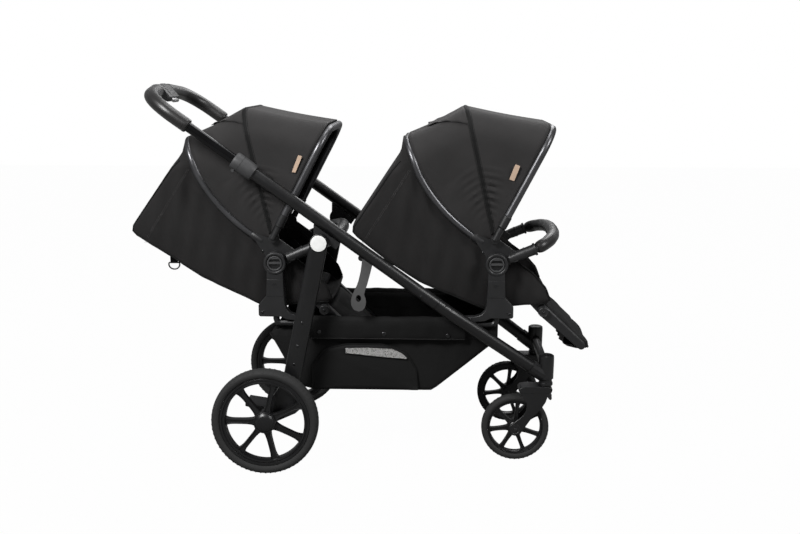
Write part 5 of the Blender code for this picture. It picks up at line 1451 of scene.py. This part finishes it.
for prefix, hub_x, way in HUBS:
    seat = prefix + "_seat"
    hinge = by_hub(hub_x, CANOPY_HINGE)[0]
    leg_up = (Vector(ARCH_TOP) - Vector(ARCH_FOOT)).normalized()
    forward = Vector((leg_up.y, -leg_up.x))
    hoop_leg = []
    for i in range(31):
        share = i / 30
        x, z = arch_leg(share)
        ahead = forward * 0.0092 + leg_up * (0.006 * max(0, share - 0.72) / 0.28)
        hoop_leg.append((hub_x + x + ahead.x, HUB_Z + z + ahead.y))
    hoop_leg[0] = (hinge[0] - 0.014, hinge[1] + 0.002)
    rear_line = bow_line(hoop_leg, FRAME_Y + 0.004, 0.174, BOW_CORNER + 0.004)
    mid_leg = straight_leg(hinge, MID_BOW[0] + 0.0065, MID_BOW[1], 0.003)
    mid_line = bow_line(mid_leg, MID_BOW[2] + 0.0045, 0.186, BOW_CORNER + 0.005)
    brim_leg = straight_leg(hinge, BRIM[0] + BRIM_TUBE - 0.0015, BRIM[1], 0.008, 0.0098)
    brim_line = bow_line(brim_leg, BRIM[2] + 0.005, 0.19, BOW_CORNER + 0.008)
    count = len(mid_line)

    def inward(i):
        """How far the cloth may sag at point i of a line: nothing at the feet, most over the top."""
        low = min(i, count - 1 - i) / LEG_POINTS
        return min(1.0, low) ** 0.8

    def canopy_place(t, i, lift=0.0):
        """A point of the cloth: t from -1 at the hoop over 0 at the middle bow to 1 at the brim."""
        far = rear_line[i] if t < 0 else brim_line[i]
        share = abs(t)
        place = mid_line[i].lerp(far, share)
        middle = at(hinge[0] - SHIFT, 0, hinge[1])
        turn = math.pi / 2 * max(0, min(1, (min(i, count - 1 - i) - LEG_POINTS) / CORNER_POINTS))
        upwards = Vector((place.x - middle.x, 0, place.z - middle.z)).normalized()
        radial = Vector((0, math.copysign(math.cos(turn), place.y), 0)) + upwards * math.sin(turn)
        sag = (0.0035 if t < 0 else 0.0025) * math.sin(math.pi * share) * inward(i)
        low = min(i, count - 1 - i) / LEG_POINTS
        ruck = 0.0
        if low < 0.75:
            reach = (place - middle - Vector((0, place.y, 0))).length
            near = math.exp(-((share - 0.24) / 0.22) ** 2)
            if t <= 0:
                near = math.exp(-((share - 0.25) / 0.2) ** 2) * 0.8
            ruck = 0.0038 * near * math.sin(reach * 320 + share * 9)
            ruck *= math.exp(-(((reach - 0.13) / 0.075) ** 2))
            ruck += 0.0019 * math.sin(reach * 95 + share * 5 + 1) * math.sin(math.pi * share) * low
        place = place + radial * (lift + ruck - sag)
        place.x += SHIFT
        return place

    stations = [-1 + i / REAR_ROWS for i in range(REAR_ROWS)] + [
        i / FRONT_ROWS for i in range(FRONT_ROWS + 1)
    ]
    rows = [[canopy_place(t, i) for i in range(count)] for t in stations]
    piece = cloth(
        prefix + "_canopy_cloth", rows, canvas, seat, "black_fabric", 0.0013, (prefix + "_canopy_cover",),
    )
    squeezed = [piece]

    # The channel that holds the middle bow: a flat sleeve with a row of stitches on each side.
    spans = [(mid_line[i] - rear_line[i]).length for i in range(count)]
    fronts = [(mid_line[i] - brim_line[i]).length for i in range(count)]

    def beside(i, d, lift):
        """A point of the cloth at a distance d from the middle bow, towards the hoop if negative."""
        return canopy_place(max(-0.42, d / spans[i]) if d < 0 else min(0.42, d / fronts[i]), i, lift)

    section = mm((-7.4, 0.2), (-6.6, 1.4), (-2, 2.1), (2, 2.1), (6.6, 1.4), (7.4, 0.2))
    channel = [[beside(i, d, lift) for i in range(2, count - 2)] for d, lift in section]
    squeezed.append(cloth(prefix + "_canopy_channel", channel, canvas_plain, seat, "black_fabric", 0.0008))
    lines = [[beside(i, d, 0.002) for i in range(3, count - 3)] for d in (-0.0056, 0.0056)]

    def from_edge(i, inset, edge):
        """A point of the cloth just off it, inset from the hoop (edge -1) or the brim (edge 1)."""
        return canopy_place(edge * max(0.5, 1 - inset / (spans if edge < 0 else fronts)[i]), i, 0.0006)

    for inset, edge in ((0.0075, -1), (0.0105, -1), (0.008, 1)):
        lines.append([from_edge(i, inset, edge) for i in range(4, count - 4)])
    squeezed.append(sewn(prefix + "_canopy_stitches", lines, seat, 0.005, 0.0036, 0.0005))

    # The vent flap over the rear panel: one free layer, its edge waved and a little lifted.
    flap = []
    middle_at = count // 2
    steps = 18
    for k in range(steps + 1):
        share = k / steps
        t = -0.66 + 0.62 * share
        reach = 8.5 + 10.5 * share ** 0.8
        row = []
        for n in range(41):
            s = n / 20 - 1
            place_at = middle_at + s * reach
            low = int(math.floor(place_at))
            part = place_at - low
            raised = 0.003 * abs(s) ** 6 * (0.55 + 0.45 * math.sin(k * 1.1 + s * 2))
            raised += 0.002 * (1 - share) ** 6 + 0.0022
            row.append(canopy_place(t, low, raised).lerp(canopy_place(t, low + 1, raised), part))
        flap.append(row)
    squeezed.append(cloth(prefix + "_canopy_flap", flap, canvas, seat, "black_fabric", 0.001))
    flap_lines = [
        [row[k] + Vector((0, y, 0.0004)) for row in flap] for k, y in ((2, -0.0004), (-3, 0.0004))
    ]
    squeezed.append(sewn(prefix + "_flap_stitches", flap_lines, seat, 0.005, 0.0036, 0.0005))

    # The bare tag.
    corners = []
    for x, z in tags[prefix]:
        goal = at(x, 0, z)
        best = min(
            (p for row in rows for p in row if p.y < 0),
            key=lambda p: (p.x - goal.x) ** 2 + (p.z - goal.z) ** 2
        )
        corners.append(Vector((goal.x, best.y, goal.z)))
    for corner in corners:
        corner.y = min(p.y for p in corners) - 0.0022
    outline = rounded(corners + [corners[0], corners[1]], 0.0016, 4)[1:-1]
    bm = skin_over(bmesh.new(), [outline, [p - Vector((0, 0.0012, 0)) for p in outline]])
    squeezed.append(finished(prefix + "_canopy_tag", bm, tan_leather, seat, "black_fabric", edge=0.0003))
    for piece in squeezed:
        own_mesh(piece)

    # The brim tube on the front bow, with a nylon sleeve and a pivot disc at each foot.
    bow = prefix + "_front_bow"
    legs = straight_leg(hinge, BRIM[0], BRIM[1], 0.06)
    right = [at(x, -BRIM[2], z) for x, z in (legs[0], legs[-1])]
    left = [at(x, BRIM[2], z) for x, z in (legs[-1], legs[0])]
    path = rounded(right + left, BOW_CORNER, 12)
    bm = rod(bmesh.new(), path, BRIM_TUBE, 26)
    finished(prefix + "_brim", bm, lacquered_tube, bow, "gloss_black", (bow,))
    bm = bmesh.new()
    lean = Vector((math.cos(math.radians(BRIM[1])), 0, math.sin(math.radians(BRIM[1]))))
    for word, side in SIDES:
        centre = at(hinge[0], side * BRIM[2], hinge[1])
        sleeve = mm((0, 0.4), (0, 8.5), (36, 9.2), (40, 12.2), (72, 12.2), (74, 10.8), (76, 6))
        turned_on(bm, centre, lean, sleeve, 26)
        disc = mm((0, 12), (10, 12), (11.2, 11.2), (11.6, 9.8), (11.6, 0.3))
        spun(bm, hinge[0], PLATE_OUTER_Y + 0.0036, hinge[1], side, disc, 30)
    finished(prefix + "_brim_sleeves", bm, black_nylon, bow, "gloss_black", sharp=34)
    nodes[prefix + "_mid_bow"].data.materials[0] = black_nylon

# Bumper bars: a U of tube in two nylon sockets, its round end padded and covered in
# leatherette sewn along the inside of the bend.
BUMPER_ANGLE = math.radians(22.0)
BUMPER_REACH = 0.127
BUMPER_Y = 0.1895
BUMPER_STRAIGHT = 0.04

for prefix, hub_x, way in HUBS:
    body = prefix + "_bumper_bar"
    start = by_hub(hub_x, BUMPER_HINGE)[0]
    nose = (
        start[0] + BUMPER_REACH * math.cos(BUMPER_ANGLE), start[1] + BUMPER_REACH * math.sin(BUMPER_ANGLE),
    )
    bend = [at(start[0], -BUMPER_Y, start[1])]
    for i in range(61):
        turn = math.pi * i / 60
        out = BUMPER_STRAIGHT + (BUMPER_REACH - BUMPER_STRAIGHT) * abs(math.sin(turn)) ** 0.8
        y = -BUMPER_Y * bent(math.cos(turn), 0.8)
        bend.append(at(start[0] + out * math.cos(BUMPER_ANGLE), y, start[1] + out * math.sin(BUMPER_ANGLE)))
    bend = resampled(bend + [at(start[0], BUMPER_Y, start[1])], 90)
    lengths = walked(bend)
    whole = lengths[-1]
    bm = rod(bmesh.new(), [p for p, a in zip(bend, lengths) if a < 0.075], 0.0102, 24)
    rod(bm, [p for p, a in zip(bend, lengths) if a > whole - 0.075], 0.0102, 24)
    for word, side in SIDES:
        lean = Vector((math.cos(BUMPER_ANGLE), 0, math.sin(BUMPER_ANGLE)))
        centre = at(start[0], side * BUMPER_Y, start[1])
        socket = mm(
            (-14, 0.4), (-14, 13), (26, 14.8), (29.6, 14.8), (30, 15.6), (33.6, 15.6), (34, 14.4),
            (56, 14.8), (56.4, 17.2), (62, 17.4), (62.6, 15), (63, 0.4),
        )
        turned_on(bm, centre, lean, socket, 28)
        eye = mm((0, 12.8), (23, 12.8), (24.4, 11.8), (24.8, 10), (23.6, 9), (23.6, 0.3))
        spun(bm, start[0], PLATE_OUTER_Y + 0.0004, start[1], side, eye, 28)
    finished(prefix + "_bumper_sockets", bm, black_nylon, body, "grip_leatherette", sharp=34)
    padded = [p for p, a in zip(bend, lengths) if 0.062 < a < whole - 0.062]
    radii = []
    for i in range(len(padded)):
        end = min(i, len(padded) - 1 - i)
        radii.append(0.0174 - 0.0034 * math.exp(-end * 0.9) + 0.0003 * math.sin(i * 0.8))
    bm = rod(bmesh.new(), padded, radii, 28)
    finished(prefix + "_bumper_grip", bm, leatherette, body, "grip_leatherette", (body,), sharp=50)
    middle = Vector(at((start[0] + nose[0]) / 2 - 0.02, 0, (start[1] + nose[1]) / 2 - 0.01))
    seams = []
    for offset in (-0.0022, 0.0022):
        line = []
        for i in range(3, len(padded) - 3):
            ahead = (padded[i + 1] - padded[i - 1]).normalized()
            aside = (middle - padded[i]).normalized()
            aside = (aside - ahead * aside.dot(ahead)).normalized()
            line.append(padded[i] + aside * 0.0173 + ahead.cross(aside) * offset)
        seams.append(line)
    sewn(prefix + "_bumper_stitches", seams, body, 0.0048, 0.0034, 0.0005)

# Calf rests: a padded board with a round end, covered in the bag's cloth, on a tapered nylon
# arm at each side; a flap of the cloth hangs below its front.
LEGREST_ANGLE = math.radians(-42.0)
LEGREST_LENGTH = 0.182
LEGREST_HALF = 0.148
LEGREST_CORNER = 0.075
ARM_REACH = 0.155


def board_half(a):
    """Half the board's width at a distance from its hinge; its end is round."""
    past = max(0, a - (LEGREST_LENGTH - LEGREST_CORNER))
    return LEGREST_HALF - LEGREST_CORNER + math.sqrt(max(0, LEGREST_CORNER ** 2 - past ** 2))


for prefix, hub_x, way in HUBS:
    body = prefix + "_legrest"
    origin = Vector(by_hub(hub_x, LEGREST_HINGE)[0])
    ahead = Vector((math.cos(LEGREST_ANGLE), math.sin(LEGREST_ANGLE)))
    upward = left_of(ahead)

    def board_place(a, b, y):
        place = origin + ahead * a + upward * b
        return at(place.x, y, place.y)

    sections = []
    marks = [0.004, 0.006, 0.012, 0.022] + [0.034 + 0.0105 * i for i in range(13)] + [
        0.166, 0.1715, 0.1765, 0.18, 0.1818,
    ]
    for a in marks:
        half = board_half(a)
        rim = min(1, (a - 0.002) / 0.012) if a < 0.014 else 1
        fade = math.sqrt(max(0.03, 1 - max(0, (a - 0.15) / 0.0325) ** 3)) * math.sqrt(rim)
        ring = []
        for i in range(37):
            v = -1 + i / 18
            edge = max(0.02, 1 - abs(v) ** 7) ** 0.5
            tuft = 0.0022 * math.sin(a * 60 + 0.5) * math.cos(v * 4.2)
            ring.append(board_place(a, ((0.021 - a * 0.042) + tuft) * edge * fade, v * half))
        for i in range(35, 0, -1):
            v = -1 + i / 18
            edge = max(0.02, 1 - abs(v) ** 7) ** 0.5
            ring.append(board_place(a, -0.0095 * edge * fade, v * half))
        sections.append(ring)
    bm = skin_over(bmesh.new(), sections)
    board = finished(prefix + "_calf_board", bm, canvas_plain, body, "black_fabric", (body,), sharp=70)
    outline = []
    for v in (-1, 1):
        side_line = []
        for a in marks[1:]:
            side_line.append(board_place(a, 0.003, v * (board_half(a) + 0.0008)))
        outline += side_line if v < 0 else side_line[::-1]
    bound(prefix + "_calf_piping", outline, 0.0024, body)
    rows = []
    for i in range(33):
        y = -0.115 + 0.23 * i / 32
        wave = 0.004 * math.sin(i * 0.95) + 0.002 * math.sin(i * 2.1 + 1)
        rows.append([
            board_place(0.1, -0.0098, y), board_place(0.104 + wave, -0.022, y),
            board_place(0.113 + wave, -0.034 + wave * 0.4, y), board_place(0.13 - wave, -0.031, y),
            board_place(0.15, -0.02 + wave * 0.3, y), board_place(0.166, -0.0075, y),
        ])
    flap = cloth(prefix + "_calf_flap", rows, bag_cloth, body, "black_fabric", 0.0014)
    bm = bmesh.new()
    for word, side in SIDES:
        lean = math.degrees(LEGREST_ANGLE)
        eye = arc_places(origin, 0.015, lean + 100, lean + 260, 12)
        tip = arc_places(origin + ahead * (ARM_REACH - 0.011), 0.0108, lean - 85, lean + 85, 8)
        slab(bm, eye + tip, side * (LEGREST_HALF - 0.001), side * (PLATE_INNER_Y - 0.0006))
    finished(prefix + "_calf_arms", bm, black_nylon, body, "black_fabric", sharp=30, edge=0.0022)

# Screws, rivets and snaps: domed heads with a recess, one kind at a time, each set on its
# face by a point and the way it faces.
fasteners, given = tree_with(
    "domed_fasteners", Head_Radius="Float", Head_Height="Float", Recess_Radius="Float", Recess_Sides="Int",
)
ball = add(fasteners, "GeometryNodeMeshUVSphere", {"Segments": 24, "Rings": 14, "Radius": 1.0})
size = add(
    fasteners, "ShaderNodeCombineXYZ",
    {"X": given["Head Radius"], "Y": given["Head Radius"], "Z": given["Head Height"]},
)
dome = add(fasteners, "GeometryNodeTransform", {"Geometry": ball, "Scale": size})
plug = add(
    fasteners, "GeometryNodeMeshCylinder",
    {"Vertices": given["Recess Sides"], "Radius": given["Recess Radius"], "Depth": given["Head Height"]},
)
lift = add(fasteners, "ShaderNodeCombineXYZ", {"Z": given["Head Height"]})
raised = add(fasteners, "GeometryNodeTransform", {"Geometry": plug, "Translation": lift})
head = add(fasteners, "GeometryNodeMeshBoolean", {0: dome, 1: raised}, operation="DIFFERENCE")
spots = add(fasteners, "GeometryNodeMeshToPoints", {0: given["Geometry"]})
facing = add(fasteners, "GeometryNodeInputNamedAttribute", {"Name": "facing"}, data_type="FLOAT_VECTOR")
turned = add(fasteners, "FunctionNodeAlignRotationToVector", {"Vector": facing}, axis="Z")
laid_out(fasteners, given, spots, head, turned)


def fixed(name, places, finish, body, slot, radius, height, recess, sides=6):
    """Sets a row of fastener heads on (place, facing) pairs."""
    mesh = bpy.data.meshes.new(name + "_places")
    mesh.from_pydata([tuple(p) for p, way in places], [], [])
    ways = mesh.attributes.new("facing", "FLOAT_VECTOR", "POINT")
    for i, (p, way) in enumerate(places):
        ways.data[i].vector = way
    settings = {
        "Head Radius": radius, "Head Height": height, "Recess Radius": recess, "Recess Sides": sides,
    }
    return plain_mesh(name, (mesh, fasteners), finish, body, slot, settings)


def on_tube_skin(x, z, side):
    """The place on a main tube's outer skin seen at (x, z), and the way that skin faces."""
    off = (z - tube_z(x)) * math.cos(TUBE_ANGLE)
    out_y = math.sqrt(max(0, TUBE_RADIUS ** 2 - off ** 2))
    facing_way = Vector((math.sin(TUBE_ANGLE) * off, side * out_y, math.cos(TUBE_ANGLE) * off))
    return at(x, side * (tube_y(x) + out_y - 0.0004), z), facing_way / TUBE_RADIUS


# Blackened steel: the screws and rivets, darker than the plated parts and softly shining.
black_steel = finish_of("blackened_steel", "#3b3b3c", 0.3, metallic=0.9, grain=0.0008, relief=0.00001)
rivet_places = mm(
    (118.2, 480.4), (139.5, 475.2), (185, 455.1), (201.2, 443.8), (238.9, 420), (277.3, 379), (418, 274.5),
)


def outwards(*places):
    """Places on both sides, each with the way outwards; a place is (x, distance from the middle, z)."""
    return [(at(x, side * y, z), Vector((0, side, 0))) for word, side in SIDES for x, y, z in places]


tube_rivets = [on_tube_skin(x, z, side) for word, side in SIDES for x, z in rivet_places]
leg_rivets = outwards((-0.199, 0.2656, 0.41), (-0.212, 0.2656, 0.346), (-0.222, 0.2656, 0.296))
lug_y = BRACKET_OUTER_Y - 0.0024
lug_screws = outwards(
    *[
        (hub_x + way * x, lug_y, z) for prefix, hub_x, way in HUBS
        for x, z in ((0.036, 0.424), (-0.072, 0.4082))
    ]
)
fixed("tube_rivets", tube_rivets, black_steel, "chassis", "black_paint", 0.004, 0.0018, 0.0017)
fixed("leg_rivets", leg_rivets, black_steel, "rear_frame", "black_paint", 0.0042, 0.0016, 0.0018)
fixed("lug_screws", lug_screws, black_steel, "chassis", "charcoal_plastic", 0.0046, 0.0022, 0.0023)
fixed("basket_snaps", snap_points, black_steel, "chassis", "black_fabric", 0.0062, 0.0022, 0.0034, 20)
for prefix, hub_x, way in HUBS:
    pivot, end = by_hub(hub_x, CANOPY_HINGE, LEGREST_HINGE)
    places = outwards((pivot[0], PLATE_OUTER_Y + 0.015, pivot[1]))
    fixed(
        prefix + "_pivot_screws", places, black_steel, prefix + "_front_bow", "gloss_black", 0.0055, 0.002,
        0.0026,
    )
    places = outwards(
        (hub_x - 0.0356, PLATE_OUTER_Y, HUB_Z + 0.029), (hub_x - 0.05, PLATE_OUTER_Y, HUB_Z + 0.064),
        (end[0], 0.1782, end[1]),
    )
    fixed(
        prefix + "_plate_screws", places, black_steel, prefix + "_seat", "charcoal_plastic", 0.0038,
        0.0016, 0.0018,
    )

# Tether rings: a black D-ring on a short loop of webbing under each bag's back corner.
for prefix, hub_x, way in HUBS:
    body = prefix + "_seat"
    top = at(hub_x - 0.3, -0.105, HUB_Z - 0.002)
    ring = []
    for i in range(25):
        turn = 2 * math.pi * i / 24
        height = -0.02 + 0.014 * min(0.35, math.sin(turn))
        ring.append(top + Vector((0.0155 * math.cos(turn), 0, height)))
    bm = bmesh.new()
    rings = []
    for i in range(24):
        ahead = (ring[(i + 1) % 24] - ring[i - 1]).normalized()
        up = ahead.cross(Vector((0, 1, 0)))
        rings.append([
            ring[i] + Vector((0, 0.002 * math.cos(a), 0)) + up * 0.002 * math.sin(a) for a in turns(10)
        ])
    skin_over(bm, rings, True)
    finished(prefix + "_tether_ring", bm, black_nylon, body, "gloss_black")
    rows = []
    for z, y in (
        (0.004, -0.002), (-0.008, -0.0024), (-0.0148, -0.0016), (-0.016, 0.0), (-0.0148, 0.0016),
        (-0.008, 0.0024), (0.004, 0.002),
    ):
        rows.append([top + Vector((-0.01 + 0.02 * k / 4, y, z)) for k in range(5)])
    cloth(prefix + "_tether_loop", rows, canvas_plain, body, "black_fabric", 0.0012)

# Seat liners: a quilted back rest and seat pad inside each bag, with a five-point harness of
# webbing; the shoulder straps carry soft pads and meet in a buckle on the crotch strap.
webbing = woven("webbing_black", "#2a2a2a", 0.0022, rough=0.6, relief=0.00035, sheen=0.1)
LINER_HALF = 0.14


def pad(name, low, high, half_high, depth, body, tufts):
    """A stuffed pad between two side-view places; it swells upwards and is quilted across at the tufts."""
    low, high = Vector(low), Vector(high)
    along_way = (high - low).normalized()
    up = Vector((-along_way.y, along_way.x))
    if up.y < 0:
        up = -up
    length = (high - low).length
    sections = []
    for i in range(41):
        s = i / 40
        a = length * (0.5 - 0.5 * math.cos(math.pi * s)) if i in (0, 1, 39, 40) else length * s
        end = (1 - (2 * s - 1) ** 12) ** 0.5 if 0 < s < 1 else 0.05
        half = (LINER_HALF + (half_high - LINER_HALF) * s) * (0.93 + 0.07 * end)
        seam = 1 - 0.42 * sum(math.exp(-((s - t) / 0.014) ** 2) for t in tufts)
        ring = []
        for k in range(31):
            v = -1 + k / 15
            edge = max(0.03, 1 - abs(v) ** 6) ** 0.5
            crown = depth * edge * end * seam * (1 + 0.1 * math.cos(v * 9.4) * (1 - abs(v)))
            place = low + along_way * a + up * crown
            ring.append(at(place.x, v * half, place.y))
        for k in range(29, 0, -1):
            v = -1 + k / 15
            place = low + along_way * a - up * 0.003
            ring.append(at(place.x, v * half * 0.97, place.y))
        sections.append(ring)
    made = finished(name, skin_over(bmesh.new(), sections), canvas_plain, body, "black_fabric", sharp=80)


def strap_frames(path):
    """The way across a strap and the way off its face, at each point of its path."""
    across = [ahead.cross(Vector((0.55, 0, 0.83))).normalized() for ahead in ways_along(path)]
    return [(side_way, side_way.cross(ahead)) for side_way, ahead in zip(across, ways_along(path))]


def strap(name, path, width, thickness, body):
    """Flat webbing along a path, its face turned up from the seat."""
    rows = []
    for p, (side_way, normal) in zip(path, strap_frames(path)):
        rows.append([p + side_way * (width * (k / 4 - 0.5)) for k in range(5)])
    return cloth(name, rows, webbing, body, "black_fabric", thickness)


for prefix, hub_x, way in HUBS:
    body = prefix + "_seat"
    reach = BAG_REACH[prefix]
    back_low = (hub_x - 0.046, HUB_Z - 0.094)
    back_high = (hub_x - reach + 0.03, HUB_Z + 0.09)
    pad(prefix + "_back_pad", back_low, back_high, LINER_HALF, 0.024, body, (0.26, 0.52, 0.78))
    seat_low, seat_high = (hub_x - 0.044, HUB_Z - 0.1), (hub_x + 0.116, HUB_Z - 0.1)
    pad(prefix + "_seat_pad", seat_low, seat_high, LINER_HALF - 0.004, 0.022, body, (0.5,))
    back_way = (Vector(back_high) - Vector(back_low)).normalized()
    back_up = Vector((-back_way.y, back_way.x))
    if back_up.y < 0:
        back_up = -back_up

    def on_back(a, y, lift=0.026):
        place = Vector(back_low) + back_way * a + back_up * lift
        return at(place.x, y, place.y)

    buckle = at(hub_x - 0.004, 0, HUB_Z - 0.05)
    for word, side in SIDES:
        shoulder = [on_back(0.3, side * 0.048, 0.02), on_back(0.29, side * 0.048, 0.031)]
        shoulder += [
            on_back(0.24, side * 0.047, 0.034), on_back(0.16, side * 0.044, 0.034),
            on_back(0.1, side * 0.036, 0.036),
        ]
        shoulder += [on_back(0.055, side * 0.024, 0.046), buckle + Vector((-0.012, side * 0.012, 0.006))]
        path = resampled(shoulder, 40)
        strap(prefix + "_shoulder_strap_" + word, path, 0.024, 0.0014, body)
        pads = path[5:24]
        sections = []
        for i, (p, (side_way, normal)) in enumerate(zip(pads, strap_frames(pads))):
            share = i / (len(pads) - 1)
            swell = max(0.08, 1 - (2 * share - 1) ** 6) ** 0.5
            wide = 0.9 + 0.1 * swell
            sections.append([
                p + side_way * 0.019 * math.cos(a) * wide + normal * 0.006 * math.sin(a) * swell
                for a in turns(20)
            ])
        name = prefix + "_shoulder_pad_" + word
        soft = finished(
            name, skin_over(bmesh.new(), sections), canvas_plain, body, "black_fabric", sharp=80,
        )
        lap = [
            on_back(0.045, side * 0.128, 0.018), on_back(0.05, side * 0.118, 0.028),
            on_back(0.048, side * 0.07, 0.04),
        ]
        lap += [buckle + Vector((-0.006, side * 0.026, 0.0))]
        strap(prefix + "_lap_strap_" + word, resampled(lap, 20), 0.024, 0.0014, body)
    crotch = [
        at(hub_x + 0.03, 0, HUB_Z - 0.08), at(hub_x + 0.026, 0, HUB_Z - 0.068),
        buckle + Vector((0.014, 0, -0.004)),
    ]
    strap(prefix + "_crotch_strap", resampled(crotch, 12), 0.028, 0.0016, body)
    sections = []
    for a, half, thick in (
        (-0.02, 0.012, 0.003), (-0.017, 0.02, 0.0055), (0.0, 0.0235, 0.0072), (0.014, 0.0205, 0.0068),
        (0.021, 0.016, 0.0045), (0.023, 0.013, 0.0025),
    ):
        sections.append([
            buckle + Vector((a * 0.83, half * bent(math.cos(t), 0.7), -a * 0.2)) + Vector((
                0.2, 0, 0.98,
            )) * thick * bent(
                math.sin(t), 0.7,
            )
            for t in turns(28)
        ])
    finished(
        prefix + "_buckle", skin_over(bmesh.new(), sections), black_nylon, body, "charcoal_plastic",
        sharp=50,
    )

# Sizes: the box round every shown piece but the backdrop.
low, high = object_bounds()
